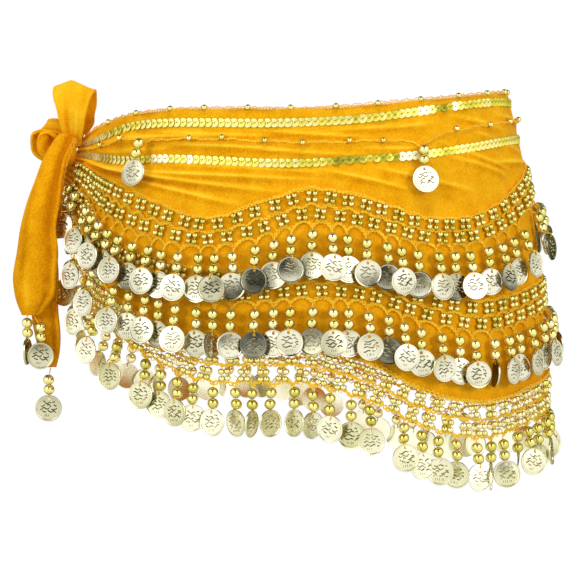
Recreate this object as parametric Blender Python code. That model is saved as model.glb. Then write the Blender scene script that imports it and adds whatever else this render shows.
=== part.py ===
# Belly dance hip scarf: one long velvet panel wrapped round the hips and tied at the
# wearer's right side, with two sequin bands, a bead line, a beaded net in three tiers
# and a coin fringe below each tier. Metres, +Z up. The wearer faces -Y, the knot is at
# -X, and the origin is the centre of the hips at the height of the knot.
#
# Every piece on the hips is worked out on one surface: an angle round the hips (0 at the
# front, +90 at the wearer's left hip), a height, and a distance out from the velvet.

import math
from collections import namedtuple

import bmesh
import bpy
from mathutils import Vector

MM = 0.001

# Velvet and trims, in metres.
VELVET_WALL = 2.0 * MM
SEAM_GAP = 0.3 * MM
SEQUIN_BAND_WIDTH = 6.5 * MM
SEQUIN_THICKNESS = 0.9 * MM
NET_THICKNESS = 1.2 * MM
TIE_WALL = 2.2 * MM

# Round the hips, in degrees.
KNOT_ANGLE = -85.0
MIDDLE_ANGLE = KNOT_ANGLE + 180.0
PANEL_START = KNOT_ANGLE + 1.5
PANEL_END = 2 * MIDDLE_ANGLE - PANEL_START
SECTION_POWER = 2.25

# The net and its fringe. One pitch carries one drop.
PITCHES = 78
PANEL_COLUMNS = 46
POST_HALF_SHARE = 0.22
STRAND_HALF_SHARE = 0.09
NET_START, NET_SPLIT, NET_STOP = 1.25, 39.25, 76.75
NET_END_SHARE = 0.015

# The net's three rails and the edges of each, in millimetres: how far the front and back
# edges lie out from the velvet, and how far the upper and lower back edges lie above and
# below the rail's line. The hem's rail is sewn outside the velvet.
NetRail = namedtuple("NetRail", "share front_out back_out front_up upper_up lower_up")
HEM_RAIL = NetRail(0.0, 2.3, 0.75, 0.0, 1.1, -0.4)
MIDDLE_RAIL = NetRail(0.5, 1.0, -0.9, 0.0, 0.9, -0.9)
END_RAIL = NetRail(1.0, 1.0, -0.8, 0.6, 1.6, 0.0)

# A drop: two large beads and a coin. Heights are measured down from the fringe's line.
BEAD_RADIUS = 3.9 * MM
BEAD_NECK = 1.2 * MM
COIN_RADIUS = 9.0 * MM
COIN_HALF_THICKNESS = 1.1 * MM
STRIP_HEIGHT = 1.6 * MM
STRIP_DEPTH = 1.3
STRIP_GAP = 0.4 * MM
UPPER_BEAD_DOWN = 6.5 * MM
BEAD_SPACING = 7.0 * MM
LOWER_BEAD_DOWN = UPPER_BEAD_DOWN + BEAD_SPACING
NECK_DOWN = LOWER_BEAD_DOWN + BEAD_SPACING / 2
COIN_DOWN = LOWER_BEAD_DOWN + 12.6 * MM

# Each drop hangs a little beside its pitch, by a share of it, and turned by up to
# COIN_TURN degrees. A few coins of the free fringe hang nearly edge on.
DROP_SHIFT = 0.12
COIN_TURN = 7.0
EDGE_ON_TURN = 66.0

# How far the parts of a fringe lie out from the velvet, in millimetres. Every other coin
# lies further out, so that neighbours overlap.
Seat = namedtuple("Seat", "strip bead even_coin odd_coin")
ON_VELVET = Seat(2.3, 6.2, 6.6, 9.8)
FREE = Seat(-0.8, 1.2, 1.4, 4.6)

# Coins lie further out where they reach over the next tier's beads, and where the fringe
# falls steeply and they reach over their neighbours' beads. On the steepest runs only
# every other pitch has a drop.
OVER_BEADS_OUT = 3.8 * MM
OVERLAY_REACH = 9.0 * MM
STEEP_FALL = 2.5 * MM
STEEP_REACH = 3.0 * MM

# The cloth lifts where it rides over the seat, and stands off the hip beside the knot.
SEAT_LIFT = 18.0 * MM
KNOT_STAND_OFF = 7.0 * MM
KNOT_STAND_OFF_REACH = 22.0
HEM_WAVE = 1.3 * MM
FOLD_REACH = 46.0

# Sections of the cloth's outer face at each height, in millimetres.
Section = namedtuple("Section", "height half_width depth_front depth_back")
HIPS = [
    Section(60, 143, 95, 96),
    Section(45, 145.5, 98, 99),
    Section(0, 151, 103, 108),
    Section(-40, 157, 108, 116),
    Section(-90, 163, 112, 123),
    Section(-150, 167, 114, 125),
    Section(-200, 168, 114, 124),
    Section(-260, 168, 114, 123),
]

# Heights of the garment's lines from the knot to the wearer's left hip, in millimetres.
# The back mirrors the front about the left hip.
Station = namedtuple(
    "Station",
    "angle top upper_band bead_line lower_band"
    " tier_one tier_one_end tier_two tier_two_end hem net_end",
)
PATTERN = [
    Station(-85, 2, 0.5, -2, -4.5, -9, -12, -15, -19, -23, -40),
    Station(-75, 12.5, 4, -0.5, -5, -13, -24, -29, -40, -46, -68),
    Station(-65, 16.8, 8, 0.5, -7.5, -20, -37, -42, -60, -67, -91),
    Station(-52, 21, 13, 4.5, -10.2, -28, -54, -66, -88, -97, -122),
    Station(-38, 23.2, 14.5, 3.5, -9.8, -41.5, -66.5, -77, -99, -118.5, -143.5),
    Station(-24, 23.2, 13.8, 3, -11.5, -51.5, -71.5, -86, -108, -133.5, -158.5),
    Station(-12, 23, 13.3, 1.5, -13.3, -42, -66, -87, -108.5, -135.5, -160.5),
    Station(0, 23, 14, 0.4, -13.3, -32.5, -56, -84.5, -106, -136.5, -161),
    Station(14, 25, 16.2, 1.5, -10.8, -38, -61, -88, -109.5, -147, -172.5),
    Station(28, 28.4, 21, 4.5, -7.8, -50.5, -69, -101, -122, -166.5, -191),
    Station(42, 32, 26, 10.5, -3, -49.5, -68, -107, -128.5, -173, -197.5),
    Station(58, 35.5, 30, 15.5, 2.5, -34, -56, -101, -122, -166, -190),
    Station(75, 38, 31.5, 18.5, 6, -17, -40, -92, -113, -156, -181),
    Station(95, 39.5, 32.5, 20, 8, -10, -33, -86, -107, -150, -175),
]

# Drops that hang from the bead line between the sequin bands, and the line's cord, in
# millimetres: half its height, how far its back and front lie out, and how far the front
# comes out and down where a drop hangs.
BEAD_LINE_DROP_ANGLES = (-47.0, 31.0, 128.0, 215.0)
Cord = namedtuple("Cord", "half_height back_out front_out drop_out drop_down strand_out")
BEAD_CORD = Cord(0.8, 0.9, 2.0, 2.3, 0.3, 5.2)
DROP_HALF_ANGLE = 0.45

# How far each row of the panel folds out near the knot, in millimetres.
FOLD_OUT = {"bead_line": 1.4, "fold_high": 2.6, "fold_mid": -1.2, "fold_low": 2.4}

# Pieces at the knot, in millimetres. A section is a stretch of tie cloth: its middle,
# half its width, the direction of that width in degrees from +X, and how far the width
# tips down, in degrees.
TieSection = namedtuple("TieSection", "x y z half_width turn tip", defaults=(0,))
KNOT_CENTRE = Vector((-167.0, -14.2, -3.0)) * MM
KNOT_HALF_SIZE = Vector((9.0, 19.7, 11.5)) * MM
KNOT_ROUNDNESS = 0.8
KNOT_WRAP_DEPTH = 0.07
UPPER_LOOP = [
    TieSection(-164.2, -21, 8.7, 6, -10, 4),
    TieSection(-162, -25, 19, 9.8, -9, 8),
    TieSection(-161.8, -27, 31, 13, -8, 11),
    TieSection(-161.6, -24.5, 41, 14.4, -8, 13),
    TieSection(-160.6, -18, 45.6, 14.6, -8, 13),
    TieSection(-158.8, -9, 42.5, 14, -8, 11),
    TieSection(-157.4, -4, 33, 12.5, -8, 9),
    TieSection(-157.8, -5, 21, 9.4, -9, 5),
    TieSection(-163.4, -9.5, 8.9, 6, -10, 0),
]
SIDE_LOOP = [
    TieSection(-174.0, -11, 7.0, 7, 80),
    TieSection(-179.2, -10, 14.5, 9, 80),
    TieSection(-184.5, -9, 18, 10.5, 80),
    TieSection(-188, -9, 13, 11, 80),
    TieSection(-189.2, -9, 5, 11, 80),
    TieSection(-188, -9, -3, 10.5, 80),
    TieSection(-183.5, -10, -8, 9.5, 80),
    TieSection(-176.2, -11, -6.5, 7.5, 80),
]
FRONT_TAIL = [
    TieSection(-166, -27.4, 9.2, 5, -8),
    TieSection(-168.5, -31.3, 4, 6.5, -8),
    TieSection(-172.4, -36.5, -8, 8.6, -8),
    TieSection(-176.8, -40.5, -22, 9.6, -8),
    TieSection(-181, -44, -38, 10.6, -8),
    TieSection(-184.4, -45, -55, 11.4, -8),
    TieSection(-185, -43.5, -72, 13.5, -8),
    TieSection(-187, -43, -88, 14.2, -8),
    TieSection(-187, -42.5, -100, 13.2, -8),
    TieSection(-188.5, -42, -108, 9.5, -8),
    TieSection(-190, -41.5, -115, 5, -8),
]
REAR_TAIL = [
    TieSection(-171.0, -20.6, -13.9, 5, -10),
    TieSection(-176.4, -26, -24, 5.8, -10),
    TieSection(-180.4, -32, -38, 6.4, -10),
    TieSection(-182.2, -33, -58, 7.0, -10),
    TieSection(-180.5, -32.5, -84, 8.3, -10),
    TieSection(-181, -32.5, -110, 8.6, -10),
    TieSection(-179, -32.5, -128, 8.2, -10),
    TieSection(-177.5, -32.5, -141, 6, -10),
    TieSection(-176.8, -32.5, -151, 3, -10),
]
TAIL_DEPTH = 4.2 * MM
TAIL_TROUGH = 2.2 * MM
TAIL_WRAP = 1.9
TAIL_STEPS_ACROSS = 8

# The drops on the tips of the ties: where the thread leaves, and how far the beads hang
# below and beside it. All in millimetres but the coin's turn.
TailDrop = namedtuple("TailDrop", "name x y z bead_down bead_aside turn")
TAIL_DROPS = [
    TailDrop("tail_drop_front_a", -192.3, -41.4, -115.2, 5.4, 0.0, 78),
    TailDrop("tail_drop_front_b", -187.7, -42.2, -115.2, 8.4, 4.6, 8),
    TailDrop("tail_drop_rear", -176.8, -33.8, -151.4, 8.4, -1.4, -5),
]

# ---- The surface of the hips ----


def smooth_value(rows, column, at):
    """A smooth curve through one column of a table whose first column is the position."""
    xs = [row[0] for row in rows]
    ys = [getattr(row, column) for row in rows]
    if xs[0] > xs[-1]:
        xs.reverse()
        ys.reverse()
    at = min(max(at, xs[0]), xs[-1])
    i = max(k for k in range(len(xs) - 1) if xs[k] <= at)

    def slope(k):
        low, high = max(k - 1, 0), min(k + 1, len(xs) - 1)
        return (ys[high] - ys[low]) / (xs[high] - xs[low])

    step = xs[i + 1] - xs[i]
    t = (at - xs[i]) / step
    start = (1 + 2 * t) * (1 - t) ** 2 * ys[i] + t * (1 - t) ** 2 * step * slope(i)
    end = t * t * (3 - 2 * t) * ys[i + 1] - t * t * (1 - t) * step * slope(i + 1)
    return start + end


def knot_distance(angle):
    return min(angle - KNOT_ANGLE, 360.0 + KNOT_ANGLE - angle)


def line_height(name, angle):
    """Height of one of the garment's lines, in metres."""
    mirrored = angle if angle <= MIDDLE_ANGLE else 2 * MIDDLE_ANGLE - angle
    height = smooth_value(PATTERN, name, mirrored) * MM
    over_seat = max(0.0, math.sin(math.radians(angle - MIDDLE_ANGLE))) ** 2
    below_top = min(1.0, max(0.0, 0.02 - height) / 0.17)
    return height + SEAT_LIFT * over_seat * below_top


def hip_point(angle, height, out=0.0):
    """A point on the velvet's outer face, moved out by a distance."""
    half_width = smooth_value(HIPS, "half_width", height / MM) * MM
    side, front = math.sin(math.radians(angle)), math.cos(math.radians(angle))
    column = "depth_front" if front > 0 else "depth_back"
    half_depth = smooth_value(HIPS, column, height / MM) * MM
    radius = (abs(side) ** SECTION_POWER + abs(front) ** SECTION_POWER) ** (-1 / SECTION_POWER)
    normal = Vector(
        (
            math.copysign(abs(side) ** (SECTION_POWER - 1), side) / half_width,
            -math.copysign(abs(front) ** (SECTION_POWER - 1), front) / half_depth,
            0.0,
        )
    ).normalized()
    near_knot = max(0.0, 1 - knot_distance(angle) / KNOT_STAND_OFF_REACH) ** 2
    high_up = min(1.0, max(0.0, (height + 0.09) / 0.06))
    down = min(1.0, max(0.0, -height / 0.15))
    wave = HEM_WAVE * down * math.sin(math.radians(11 * angle))
    out += KNOT_STAND_OFF * near_knot * high_up + wave
    point = Vector((half_width * side * radius, -half_depth * front * radius, height))
    return point + normal * out


def even_angles(count):
    """Angles that divide the net's lower line into stretches of equal length."""
    fine = [PANEL_START + (PANEL_END - PANEL_START) * k / 1400 for k in range(1401)]
    points = [hip_point(angle, line_height("net_end", angle)) for angle in fine]
    lengths = [0.0]
    for before, after in zip(points, points[1:]):
        lengths.append(lengths[-1] + (after - before).length)
    angles = []
    k = 0
    for stretch in range(count + 1):
        wanted = lengths[-1] * stretch / count
        while k < len(fine) - 2 and lengths[k + 1] < wanted:
            k += 1
        share = (wanted - lengths[k]) / (lengths[k + 1] - lengths[k])
        angles.append(fine[k] + share * (fine[k + 1] - fine[k]))
    return angles


PITCH_ANGLES = even_angles(PITCHES)
PANEL_ANGLES = even_angles(PANEL_COLUMNS)

# ---- Meshes ----


def make_object(name, points, faces, material):
    mesh = bpy.data.meshes.new(name)
    mesh.from_pydata([tuple(point) for point in points], [], faces)
    work = bmesh.new()
    work.from_mesh(mesh)
    bmesh.ops.recalc_face_normals(work, faces=work.faces)
    work.to_mesh(mesh)
    work.free()
    mesh.shade_smooth()
    mesh.set_sharp_from_angle(angle=math.radians(50))
    mesh.materials.append(material)
    piece = bpy.data.objects.new(name, mesh)
    bpy.context.collection.objects.link(piece)
    piece.parent = scarf
    return piece


def wall(name, outer, inner, material):
    """A closed wall between two grids of points, as a list of columns each."""
    across = len(outer[0])
    points = [point for column in outer for point in column]
    points += [point for column in inner for point in column]
    back = len(outer) * across
    faces = []
    for i in range(len(outer) - 1):
        for k in range(across - 1):
            corner = i * across + k
            quad = (corner, corner + 1, corner + across + 1, corner + across)
            faces.append(quad)
            faces.append(tuple(back + index for index in reversed(quad)))
        for k in (0, across - 1):
            edge = (i * across + k, (i + 1) * across + k)
            faces.append((edge[0], edge[1], back + edge[1], back + edge[0]))
    for i in (0, len(outer) - 1):
        for k in range(across - 1):
            edge = (i * across + k, i * across + k + 1)
            faces.append((edge[0], edge[1], back + edge[1], back + edge[0]))
    return make_object(name, points, faces, material)


class Rail:
    """A three-sided cord along the hips: front, upper back and lower back edges.

    Each edge is a list of (angle, point index), so the three sides can be filled in
    between edges whose points stand at different angles. A port is a triangle that is
    left out of a side, where a strand grows on.
    """

    def __init__(self, mesh):
        self.mesh = mesh
        self.front, self.upper, self.lower = [], [], []

    def add(self, edge, angle, height, out):
        self.mesh.points.append(hip_point(angle, height, out))
        index = len(self.mesh.points) - 1
        edge.append((angle, index))
        return index

    def fill(self, ports):
        sides = ((self.front, self.lower), (self.lower, self.upper), (self.upper, self.front))
        for one, other in sides:
            fill_between(self.mesh, sorted(one), sorted(other), ports)
        for end in (0, -1):
            corners = [sorted(edge)[end][1] for edge in (self.front, self.upper, self.lower)]
            self.mesh.faces.append(tuple(corners))


class OpenMesh:
    def __init__(self):
        self.points, self.faces = [], []


def fill_between(mesh, one, other, ports):
    """Triangles between two edges, leaving out those that are ports."""
    i = k = 0
    while i < len(one) - 1 or k < len(other) - 1:
        step_one = k == len(other) - 1 or (i < len(one) - 1 and one[i + 1][0] <= other[k + 1][0])
        if step_one:
            triangle = (one[i][1], one[i + 1][1], other[k][1])
            i += 1
        else:
            triangle = (one[i][1], other[k + 1][1], other[k][1])
            k += 1
        if frozenset(triangle) not in ports:
            mesh.faces.append(triangle)


def join_rings(mesh, ring, next_ring):
    for k in range(3):
        after = (k + 1) % 3
        mesh.faces.append((ring[k], ring[after], next_ring[after], next_ring[k]))


def add_strand(mesh, port, place, turn):
    """Two touching beads and a coin below a port. place(aside, down, out) gives a point."""
    along, through = math.cos(math.radians(turn)), math.sin(math.radians(turn))

    def ring(down, half_width, depth_out, depth_in, flat):
        corners = ((-half_width, depth_out), (half_width, depth_out), (0.0, -depth_in))
        made = []
        for aside, out in corners:
            if flat:
                aside, out = aside * along - out * through, aside * through + out * along
            mesh.points.append(place(aside, down, out))
            made.append(len(mesh.points) - 1)
        return made

    def bead_ring(down, radius):
        return ring(down, radius * 0.87, radius * 0.5, radius, flat=False)

    rings = [
        list(port),
        bead_ring(UPPER_BEAD_DOWN, BEAD_RADIUS),
        bead_ring(LOWER_BEAD_DOWN, BEAD_RADIUS),
        bead_ring(NECK_DOWN, BEAD_NECK),
        ring(COIN_DOWN - 0.5 * COIN_RADIUS, 0.88 * COIN_RADIUS, 0.0, COIN_HALF_THICKNESS, True),
        ring(COIN_DOWN + 0.5 * COIN_RADIUS, 0.88 * COIN_RADIUS, 0.0, COIN_HALF_THICKNESS, True),
    ]
    for upper, lower in zip(rings, rings[1:]):
        join_rings(mesh, upper, lower)
    mesh.points.append(place(0.0, COIN_DOWN + COIN_RADIUS, 0.0))
    tip = len(mesh.points) - 1
    for k in range(3):
        mesh.faces.append((rings[-1][k], rings[-1][(k + 1) % 3], tip))


# ---- Velvet panel and what lies on it ----


def gather(angle):
    """1 where the garment lies flat, less where it narrows into the knot."""
    return min(1.0, 0.3 + 0.7 * max(0.0, knot_distance(angle) - 3) / 22)


def panel_rows(angle):
    """(name, height) of the panel's rows at an angle, from the top edge to the hem."""
    half_band = 0.5 * SEQUIN_BAND_WIDTH * gather(angle)
    line = {name: line_height(name, angle) for name in Station._fields[1:]}
    fold_top = line["lower_band"] - half_band
    fold_height = fold_top - line["tier_one"]
    return [
        ("top", line["top"]),
        ("upper_band_top", line["upper_band"] + half_band),
        ("upper_band_foot", line["upper_band"] - half_band),
        ("bead_line", line["bead_line"]),
        ("lower_band_top", line["lower_band"] + half_band),
        ("lower_band_foot", fold_top),
        ("fold_high", fold_top - 0.25 * fold_height),
        ("fold_mid", fold_top - 0.5 * fold_height),
        ("fold_low", fold_top - 0.75 * fold_height),
        ("tier_one", line["tier_one"]),
        ("tier_one_end", line["tier_one_end"]),
        ("tier_two", line["tier_two"]),
        ("tier_two_end", line["tier_two_end"]),
        ("hem", line["hem"]),
    ]


def fold_out(name, angle):
    """How far a row folds out: the folds run from the knot and die away round the hips."""
    distance = knot_distance(angle)
    fading = math.exp(-((distance / FOLD_REACH) ** 2)) * min(1.0, distance / 12)
    return FOLD_OUT.get(name, 0.0) * MM * fading


def panel_column(angle, out=0.0, rows=None):
    return [
        hip_point(angle, height, out + fold_out(name, angle))
        for name, height in panel_rows(angle)
        if rows is None or name in rows
    ]


def build_panel():
    outer = [panel_column(angle) for angle in PANEL_ANGLES]
    inner = [panel_column(angle, -VELVET_WALL) for angle in PANEL_ANGLES]
    wall("velvet_panel", outer, inner, velvet)


def build_band(name, rows, thickness, material):
    """A trim that covers the panel from one row to the next, a seam gap above it."""
    angles = PANEL_ANGLES[1:-1]
    outer = [panel_column(angle, SEAM_GAP + thickness, rows) for angle in angles]
    inner = [panel_column(angle, SEAM_GAP, rows) for angle in angles]
    wall(name, outer, inner, material)


def build_bead_line(cord):
    mesh = OpenMesh()
    rail = Rail(mesh)
    ports = set()
    strands = []
    angles = PANEL_ANGLES[1:-1]
    nearest = [min(angles, key=lambda a: abs(a - wanted)) for wanted in BEAD_LINE_DROP_ANGLES]
    for angle in angles:
        height = line_height("bead_line", angle)
        fold = fold_out("bead_line", angle)
        half_height, back_out = cord.half_height * MM, cord.back_out * MM + fold
        rail.add(rail.upper, angle, height + half_height, back_out)
        lower = rail.add(rail.lower, angle, height - half_height, back_out)
        if angle not in nearest:
            rail.add(rail.front, angle, height, cord.front_out * MM + fold)
            continue
        front_height, front_out = height - cord.drop_down * MM, cord.drop_out * MM + fold
        port = (
            rail.add(rail.front, angle - DROP_HALF_ANGLE, front_height, front_out),
            rail.add(rail.front, angle + DROP_HALF_ANGLE, front_height, front_out),
            lower,
        )
        ports.add(frozenset(port))
        strands.append((port, angle, height))
    rail.fill(ports)
    for number, (port, angle, height) in enumerate(strands):
        per_metre = degrees_per_metre(angle, height)

        def place(aside, down, out):
            level = height - down + STRIP_HEIGHT
            return hip_point(angle + aside * per_metre, level, out + cord.strand_out * MM)

        add_strand(mesh, port, place, COIN_TURN * math.sin(2.3 * number))
    make_object("bead_line", mesh.points, mesh.faces, crochet)


# ---- The open net and the fringes ----


def degrees_per_metre(angle, height):
    step = hip_point(angle + 0.5, height) - hip_point(angle - 0.5, height)
    return 1.0 / step.length


def pitch_angle(position):
    """Angle at a position counted in pitches, halves included."""
    whole = min(int(position), PITCHES - 1)
    before, after = PITCH_ANGLES[whole], PITCH_ANGLES[whole + 1]
    return before + (position - whole) * (after - before)


def pitch_width(position):
    low, high = max(position - 0.5, 0), min(position + 0.5, PITCHES)
    return (pitch_angle(high) - pitch_angle(low)) / (high - low)


def net_height(angle, share):
    """Height between the hem (0) and the net's lower line (1)."""
    hem, end = line_height("hem", angle), line_height("net_end", angle)
    return hem + share * (end - hem)


def build_net(name, first, last):
    """The net between two pitches: three rails, and posts in two staggered rows."""
    mesh = OpenMesh()
    posts = [k / 2 for k in range(2 * PITCHES) if first < k / 2 < last]
    upper_posts = [post for post in posts if post == int(post)]
    lower_posts = [post for post in posts if post != int(post)]
    rails = {place: Rail(mesh) for place in (HEM_RAIL, MIDDLE_RAIL, END_RAIL)}

    def add_point(place, edge, angle, up, out):
        return rails[place].add(edge, angle, net_height(angle, place.share) + up * MM, out * MM)

    def front_pair(place, post):
        angle, half = pitch_angle(post), POST_HALF_SHARE * pitch_width(post)
        front = rails[place].front
        return [
            add_point(place, front, angle + side, place.front_up, place.front_out)
            for side in (-half, half)
        ]

    def upper_point(place, angle):
        return add_point(place, rails[place].upper, angle, place.upper_up, place.back_out)

    def lower_point(place, angle):
        return add_point(place, rails[place].lower, angle, place.lower_up, place.back_out)

    tops, feet = {}, {}
    for post in upper_posts:
        angle = pitch_angle(post)
        tops[post] = (*front_pair(HEM_RAIL, post), lower_point(HEM_RAIL, angle))
        upper_point(HEM_RAIL, angle)
        feet[post] = (*front_pair(MIDDLE_RAIL, post), upper_point(MIDDLE_RAIL, angle))
    for post in lower_posts:
        angle = pitch_angle(post)
        tops[post] = (*front_pair(MIDDLE_RAIL, post), lower_point(MIDDLE_RAIL, angle))
        feet[post] = (*front_pair(END_RAIL, post), upper_point(END_RAIL, angle))
        lower_point(END_RAIL, angle)
    for position in (first + NET_END_SHARE, last - NET_END_SHARE):
        angle = pitch_angle(position)
        for place, rail in rails.items():
            add_point(place, rail.front, angle, place.front_up, place.front_out)
            upper_point(place, angle)
            lower_point(place, angle)
    ports = {frozenset(port) for port in (*tops.values(), *feet.values())}
    for rail in rails.values():
        rail.fill(ports)
    for post, top in tops.items():
        join_rings(mesh, top, feet[post])
    make_object(name, mesh.points, mesh.faces, crochet)


def build_fringe(name, line, next_line, seat, bare_pitches, sway, edge_on_every):
    """A narrow strip below one of the net's lines, with a drop at each pitch but those
    next to the knot."""
    mesh = OpenMesh()
    rail = Rail(mesh)
    ports = set()
    strands = []
    first, last = bare_pitches, PITCHES - bare_pitches

    def add_station(angle, half):
        pair = []
        for side in (-half, half) if half else (0.0,):
            foot = line_height(line, angle + side) - STRIP_GAP - STRIP_HEIGHT
            front_out = (seat.strip + STRIP_DEPTH) * MM
            pair.append(rail.add(rail.front, angle + side, foot, front_out))
        top = line_height(line, angle) - STRIP_GAP
        rail.add(rail.upper, angle, top, seat.strip * MM)
        back = rail.add(rail.lower, angle, top - STRIP_HEIGHT, seat.strip * MM)
        return (*pair, back)

    def steepness(number):
        before, after = (line_height(line, pitch_angle(number + side)) for side in (-1, 1))
        return min(1.0, max(0.0, (abs(after - before) / 2 - STEEP_FALL) / STEEP_REACH))

    add_station(pitch_angle(first - 0.5), 0)
    for number in range(first, last + 1):
        steep = steepness(number)
        if steep == 1 and number % 2 == 0:
            continue
        shift = (1 - steep) * DROP_SHIFT * math.sin(1.9 * number + sway)
        angle = pitch_angle(number + shift)
        port = add_station(angle, STRAND_HALF_SHARE * pitch_width(number))
        ports.add(frozenset(port))
        strands.append((number, port, angle))
    add_station(pitch_angle(last + 0.5), 0)
    rail.fill(ports)
    for number, port, angle in strands:
        height = line_height(line, angle)
        per_metre = degrees_per_metre(angle, height)
        at_coin = (seat.even_coin, seat.odd_coin)[number % 2] * MM
        lift = steepness(number)
        if next_line:
            reach = line_height(next_line, angle) - (height - COIN_DOWN - COIN_RADIUS)
            lift = max(lift, min(1.0, 1 + reach / OVERLAY_REACH))
        at_coin += OVER_BEADS_OUT * lift
        edge_on = edge_on_every and number % edge_on_every == 0 and lift == 0
        turn = EDGE_ON_TURN if edge_on else (1 - lift) * COIN_TURN * math.sin(2.1 * number + sway)

        def place(aside, down, out):
            towards_coin = min(1.0, max(0.0, (down - LOWER_BEAD_DOWN) / (NECK_DOWN - LOWER_BEAD_DOWN)))
            base = seat.bead * MM + (at_coin - seat.bead * MM) * towards_coin
            return hip_point(angle + aside * per_metre, height - down, base + out)

        add_strand(mesh, port, place, turn)
    make_object(name, mesh.points, mesh.faces, gilt)


# ---- Knot, bow and ties ----


def smooth_sections(rows, steps):
    """The rows of a table of tie sections, with more between them on a smooth curve."""
    numbered = [(float(k), *row) for k, row in enumerate(rows)]
    Numbered = namedtuple("Numbered", ("at", *TieSection._fields))
    table = [Numbered(*row) for row in numbered]
    count = (len(rows) - 1) * steps
    result = []
    for k in range(count + 1):
        at = k / steps
        result.append(TieSection(*(smooth_value(table, name, at) for name in TieSection._fields)))
    return result


def width_direction(row):
    turn, tip = math.radians(row.turn), math.radians(row.tip)
    return Vector((math.cos(turn) * math.cos(tip), math.sin(turn) * math.cos(tip), -math.sin(tip)))


def offset_walls(grid, thickness):
    """Two grids of points, half a thickness to either side of a grid."""
    rows, across = len(grid), len(grid[0])
    outer, inner = [], []
    for i in range(rows):
        outer.append([])
        inner.append([])
        for k in range(across):
            along = grid[min(i + 1, rows - 1)][k] - grid[max(i - 1, 0)][k]
            side = grid[i][min(k + 1, across - 1)] - grid[i][max(k - 1, 0)]
            normal = along.cross(side).normalized()
            outer[-1].append(grid[i][k] + normal * thickness / 2)
            inner[-1].append(grid[i][k] - normal * thickness / 2)
    return outer, inner


def build_loop(name, rows, crown, steps_across=4):
    """A band of tie cloth that runs along the rows, a little crowned across its width."""
    grid = []
    sections = smooth_sections(rows, 2)
    for i, row in enumerate(sections):
        before, after = sections[max(i - 1, 0)], sections[min(i + 1, len(sections) - 1)]
        along = Vector((after.x - before.x, after.y - before.y, after.z - before.z))
        width = width_direction(row)
        normal = along.cross(width).normalized()
        column = []
        for k in range(steps_across + 1):
            share = 2 * k / steps_across - 1
            middle = Vector((row.x, row.y, row.z))
            bow = crown * (1 - share * share) * math.sin(math.pi * i / (len(sections) - 1))
            column.append((middle + width * row.half_width * share + normal * bow) * MM)
        grid.append(column)
    outer, inner = offset_walls(grid, TIE_WALL)
    wall(name, outer, inner, velvet)


def build_tail(name, rows):
    """A hanging tie end: its edges roll to the back, and a trough runs down its front."""
    grid = []
    for row in rows:
        width = width_direction(row)
        back = Vector((-width.y, width.x, 0))
        middle = Vector((row.x, row.y, row.z)) * MM
        half_width = row.half_width * MM
        depth = min(TAIL_DEPTH, 0.55 * half_width)
        column = []
        for k in range(TAIL_STEPS_ACROSS + 1):
            roll = (2 * k / TAIL_STEPS_ACROSS - 1) * TAIL_WRAP
            aside = half_width * math.sin(roll) * (1.0 if abs(roll) < math.pi / 2 else 0.98)
            trough = TAIL_TROUGH * math.exp(-((roll / 0.45) ** 2)) * depth / TAIL_DEPTH
            column.append(middle + width * aside + back * (trough - depth * math.cos(roll)))
        grid.append(column)
    outer, inner = offset_walls(grid, TIE_WALL)
    wall(name, outer, inner, velvet)


def build_knot():
    """The crossing of the ties: a rounded lump with the wraps of cloth round it."""
    work = bmesh.new()
    bmesh.ops.create_uvsphere(work, u_segments=14, v_segments=10, radius=1.0)
    points = []
    for vert in work.verts:
        around = math.atan2(vert.co.z, vert.co.x)
        wraps = 1 - KNOT_WRAP_DEPTH * (1 + math.sin(2 * around + 5 * vert.co.y)) / 2
        place = [
            wraps * math.copysign(abs(vert.co[k]) ** KNOT_ROUNDNESS, vert.co[k]) * KNOT_HALF_SIZE[k]
            for k in range(3)
        ]
        points.append(KNOT_CENTRE + Vector(place))
    faces = [[vert.index for vert in face.verts] for face in work.faces]
    work.free()
    make_object("tie_knot", points, faces, velvet)


def build_tail_drop(drop):
    """A strand that hangs from the tip of a tie."""
    mesh = OpenMesh()
    root = Vector((drop.x, drop.y, drop.z)) * MM
    extra_down = drop.bead_down * MM - UPPER_BEAD_DOWN

    def place(aside, down, out):
        shift = drop.bead_aside * MM * min(1.0, down / UPPER_BEAD_DOWN)
        return root + Vector((aside + shift, -out, -down - extra_down))

    port = []
    for corner in (Vector((-0.8, -0.6, 0)), Vector((0.8, -0.6, 0)), Vector((0, 0.9, 0))):
        mesh.points.append(root + corner * MM)
        port.append(len(mesh.points) - 1)
    mesh.faces.append(tuple(port))
    add_strand(mesh, port, place, drop.turn)
    make_object(drop.name, mesh.points, mesh.faces, gilt)


# ---- The scene ----


def clear_scene():
    for old in list(bpy.data.objects):
        bpy.data.objects.remove(old, do_unlink=True)


def make_material(name, colour, roughness, metallic):
    material = bpy.data.materials.new(name)
    material.use_nodes = True
    shader = material.node_tree.nodes["Principled BSDF"]
    shader.inputs["Base Color"].default_value = (*colour, 1.0)
    shader.inputs["Roughness"].default_value = roughness
    shader.inputs["Metallic"].default_value = metallic
    return material


clear_scene()
scarf = bpy.data.objects.new("hip_scarf", None)
bpy.context.collection.objects.link(scarf)
velvet = make_material("golden_velvet", (0.9, 0.4, 0.01), 0.8, 0.0)
sequins = make_material("gold_sequins", (0.85, 0.7, 0.12), 0.25, 0.6)
crochet = make_material("crochet_thread", (0.85, 0.42, 0.05), 0.75, 0.0)
gilt = make_material("gilt_beads_and_coins", (0.75, 0.68, 0.35), 0.3, 0.9)

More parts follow.
